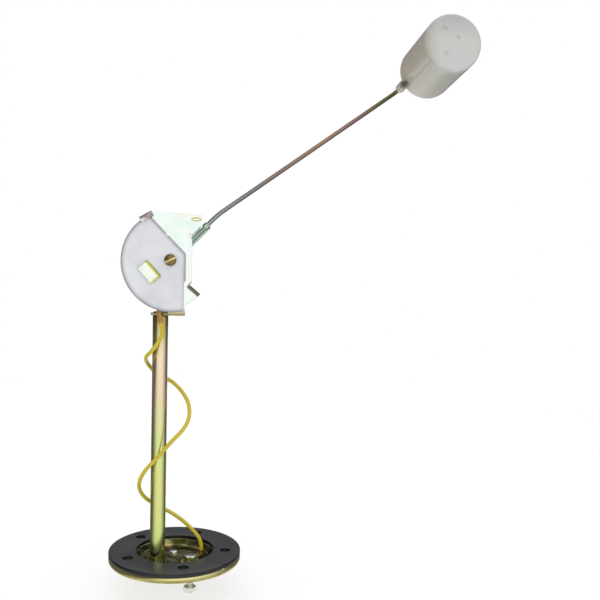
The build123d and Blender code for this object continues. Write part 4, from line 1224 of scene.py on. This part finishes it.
def threaded(name, low, high):
    """A screw thread drawn as one tooth swept up by the Screw modifier, on a plain core."""
    turns = int((high - low - 0.8) / THREAD_PITCH)
    part = new_piece(name, "plane", size=MM)
    edit_whole()
    pick(part, "verts", lambda vert: vert.co.x < 0 and vert.co.y < 0)
    bpy.ops.mesh.delete(type="VERT")
    buried = THREAD_ROOT - 0.05
    tooth = [(buried, 0.0), (buried, THREAD_PITCH), (THREAD_CREST, 0.42 * THREAD_PITCH)]
    shape = bmesh.from_edit_mesh(part.data)
    for vert, (radius, height) in zip(shape.verts, tooth):
        vert.co = (radius * MM, 0, height * MM)
    bmesh.update_edit_mesh(part.data)
    pick(part, "edges", lambda edge: abs(edge.verts[0].co.x - edge.verts[1].co.x) < 1e-6)
    bpy.ops.mesh.delete(type="EDGE_FACE")
    close_edit()
    apply_modifier(
        part, "SCREW", angle=2 * pi, screw_offset=THREAD_PITCH * MM, iterations=turns, steps=24,
        use_merge_vertices=True, merge_threshold=1e-6,
    )
    part.location = (TERMINAL[0] * MM, TERMINAL[1] * MM, (low + 0.5) * MM)
    finish_mesh(part, 40)
    core = turned_piece("core", [
        (0.3, low), (1.1, low), (THREAD_ROOT, low + 0.4), (THREAD_ROOT, high), (0.3, high),
    ], (*TERMINAL, 0), segments=32)
    return join_pieces([part, core])


terminal = threaded("terminal", THREAD_END, HEAD_LOW + 0.1)
join_pieces([terminal, hexagon("head", HEAD_LOW, HEAD_HIGH, False, True)])
finish_mesh(terminal, 30)
dress(terminal, "stem_unit", "terminal_screw")

nuts = []
for top in NUT_TOPS:
    nut = hexagon("nut", top - NUT_THICK, top, True, True)
    drill(nut, [TERMINAL], THREAD_CREST + 0.05, top - NUT_THICK - 1, top + 1)
    nuts.append(nut)
nut_pair = join_pieces(nuts)
nut_pair.name = "nut_pair"
finish_mesh(nut_pair, 30)
dress(nut_pair, "stem_unit", "terminal_nuts")

# %% [markdown]
# Behind the plate, the resistor is fine wire wound edge to edge on a strip. One
# turn is a rectangle with rounded corners, made thick through a curve. Spinning
# copies of it about the pivot lays the turns side by side.

# %% Resistance winding
FORMER_RADIUS = 22.3
FORMER_THICK = 0.8
FORMER_HEIGHT = 6.9
FORMER_BACK_DEPTH = SECTOR_BACK_DEPTH - 0.6 - FORMER_HEIGHT
WINDING_THICK = 0.6
WINDING_FROM, WINDING_TO = radians(135.1), radians(235.4)
TURN_WIRE_RADIUS = 0.24
TURN_COUNT = 76
turn_width = FORMER_THICK + WINDING_THICK + 0.05
turn_height = FORMER_HEIGHT + WINDING_THICK + 0.05
first_middle = FORMER_RADIUS + FORMER_THICK / 2
winding = new_piece("winding", "plane", size=1)
edit_whole()
bpy.ops.transform.resize(value=(turn_width * MM, turn_height * MM, 1))
bpy.ops.mesh.bevel(offset=0.4 * MM, segments=3, affect="VERTICES")
bpy.ops.mesh.delete(type="ONLY_FACE")
close_edit()
bpy.ops.object.convert(target="CURVE")
winding.data.bevel_depth = TURN_WIRE_RADIUS * MM
winding.data.bevel_resolution = 1
bpy.ops.object.convert(target="MESH")
winding = bpy.context.object
winding.matrix_world = (
    Matrix.Translation(PIVOT * MM) @ Matrix.Rotation(-WINDING_FROM, 4, "Y")
    @ Matrix.Translation((first_middle * MM, -(FORMER_BACK_DEPTH + FORMER_HEIGHT / 2) * MM, 0))
)
bpy.ops.object.transform_apply()
edit_whole()
bpy.ops.mesh.spin(
    dupli=True, steps=TURN_COUNT - 1, angle=WINDING_TO - WINDING_FROM, center=PIVOT * MM, axis=(0, 1, 0),
)
close_edit()
finish_mesh(winding, 60)
dress(winding, "stem_unit", "resistance_winding")

# %% [markdown]
# The bracket and the arm's lever are sheared from sheet. Their shapes are right as
# solids, but their edges there are perfectly sharp, which no sheared sheet is. So
# a copy of each is merged, cleaned and bevelled, and the light then finds a line
# along every edge.

# %% Sheet pieces
def softened_copy(node, name, width):
    """A copy of a solid's mesh with its doubles merged, its flats made whole and its edges rounded."""
    take(nodes[node])
    bpy.ops.object.duplicate()
    part = bpy.context.object
    part.name = name
    bpy.ops.object.parent_clear(type="CLEAR_KEEP_TRANSFORM")
    bpy.ops.object.transform_apply()
    edit_whole()
    bpy.ops.mesh.remove_doubles(threshold=SAME_PLACE)
    bpy.ops.mesh.dissolve_limited(angle_limit=radians(1.0))
    close_edit()
    soften(part, width, 35)
    finish_mesh(part, 40)
    return part


dress(softened_copy("bracket", "folded_bracket", 0.16), "stem_unit", "bracket")
dress(softened_copy("arm_lever", "crimped_lever", 0.12), "arm", "arm_lever")

# %% [markdown]
# The signal lead is the one soft piece. It is about 17 cm of yellow covered wire,
# all of which shows, from the brown sleeve behind the sector plate, loosely round
# the stem, to the tag in the dish. A NURBS curve of order 3 through the same
# control points as the solid gives a line without a kink.

# %% Signal lead
LEAD_ROUTE = [
    (-0.0090, -0.0139, 0.1218), (-0.0076, -0.0142, 0.1192), (-0.0080, -0.0150, 0.1150),
    (-0.0108, -0.0158, 0.1105), (-0.0138, -0.0150, 0.1066), (-0.0164, -0.0110, 0.1040),
    (-0.0160, -0.0040, 0.1000), (-0.0110, 0.0005, 0.0940), (-0.0030, 0.0000, 0.0905),
    (0.0030, -0.0040, 0.0850), (0.0065, -0.0085, 0.0790), (0.0065, -0.0125, 0.0720),
    (0.0030, -0.0155, 0.0665),
    (-0.0030, -0.0170, 0.0610), (-0.0095, -0.0170, 0.0530), (-0.0160, -0.0140, 0.0460),
    (-0.0195, -0.0095, 0.0380), (-0.0180, -0.0040, 0.0305), (-0.0110, -0.0005, 0.0240),
    (-0.0030, 0.0005, 0.0200), (0.0045, 0.0010, 0.0145), (0.0105, 0.0010, 0.0085),
    (0.0142, 0.0012, 0.0030), (0.0142, 0.0012, -0.0014),
]
LEAD_DIAMETER = 0.002

lead_curve = bpy.data.curves.new("yellow_lead", "CURVE")
lead_curve.dimensions = "3D"
lead_line = lead_curve.splines.new("NURBS")
lead_line.points.add(len(LEAD_ROUTE) - 1)
for point, place in zip(lead_line.points, LEAD_ROUTE):
    point.co = (*place, 1.0)
lead_line.order_u = 3
lead_line.use_endpoint_u = True
lead_line.resolution_u = 10
lead_curve.bevel_depth = LEAD_DIAMETER / 2
lead_curve.bevel_resolution = 5
lead_curve.use_fill_caps = True
lead_curve.materials.append(finishes["yellow_lead_covering"])
yellow_lead = bpy.data.objects.new("yellow_lead", lead_curve)
scene.collection.objects.link(yellow_lead)
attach(yellow_lead, "stem_unit")
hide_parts("signal_lead")
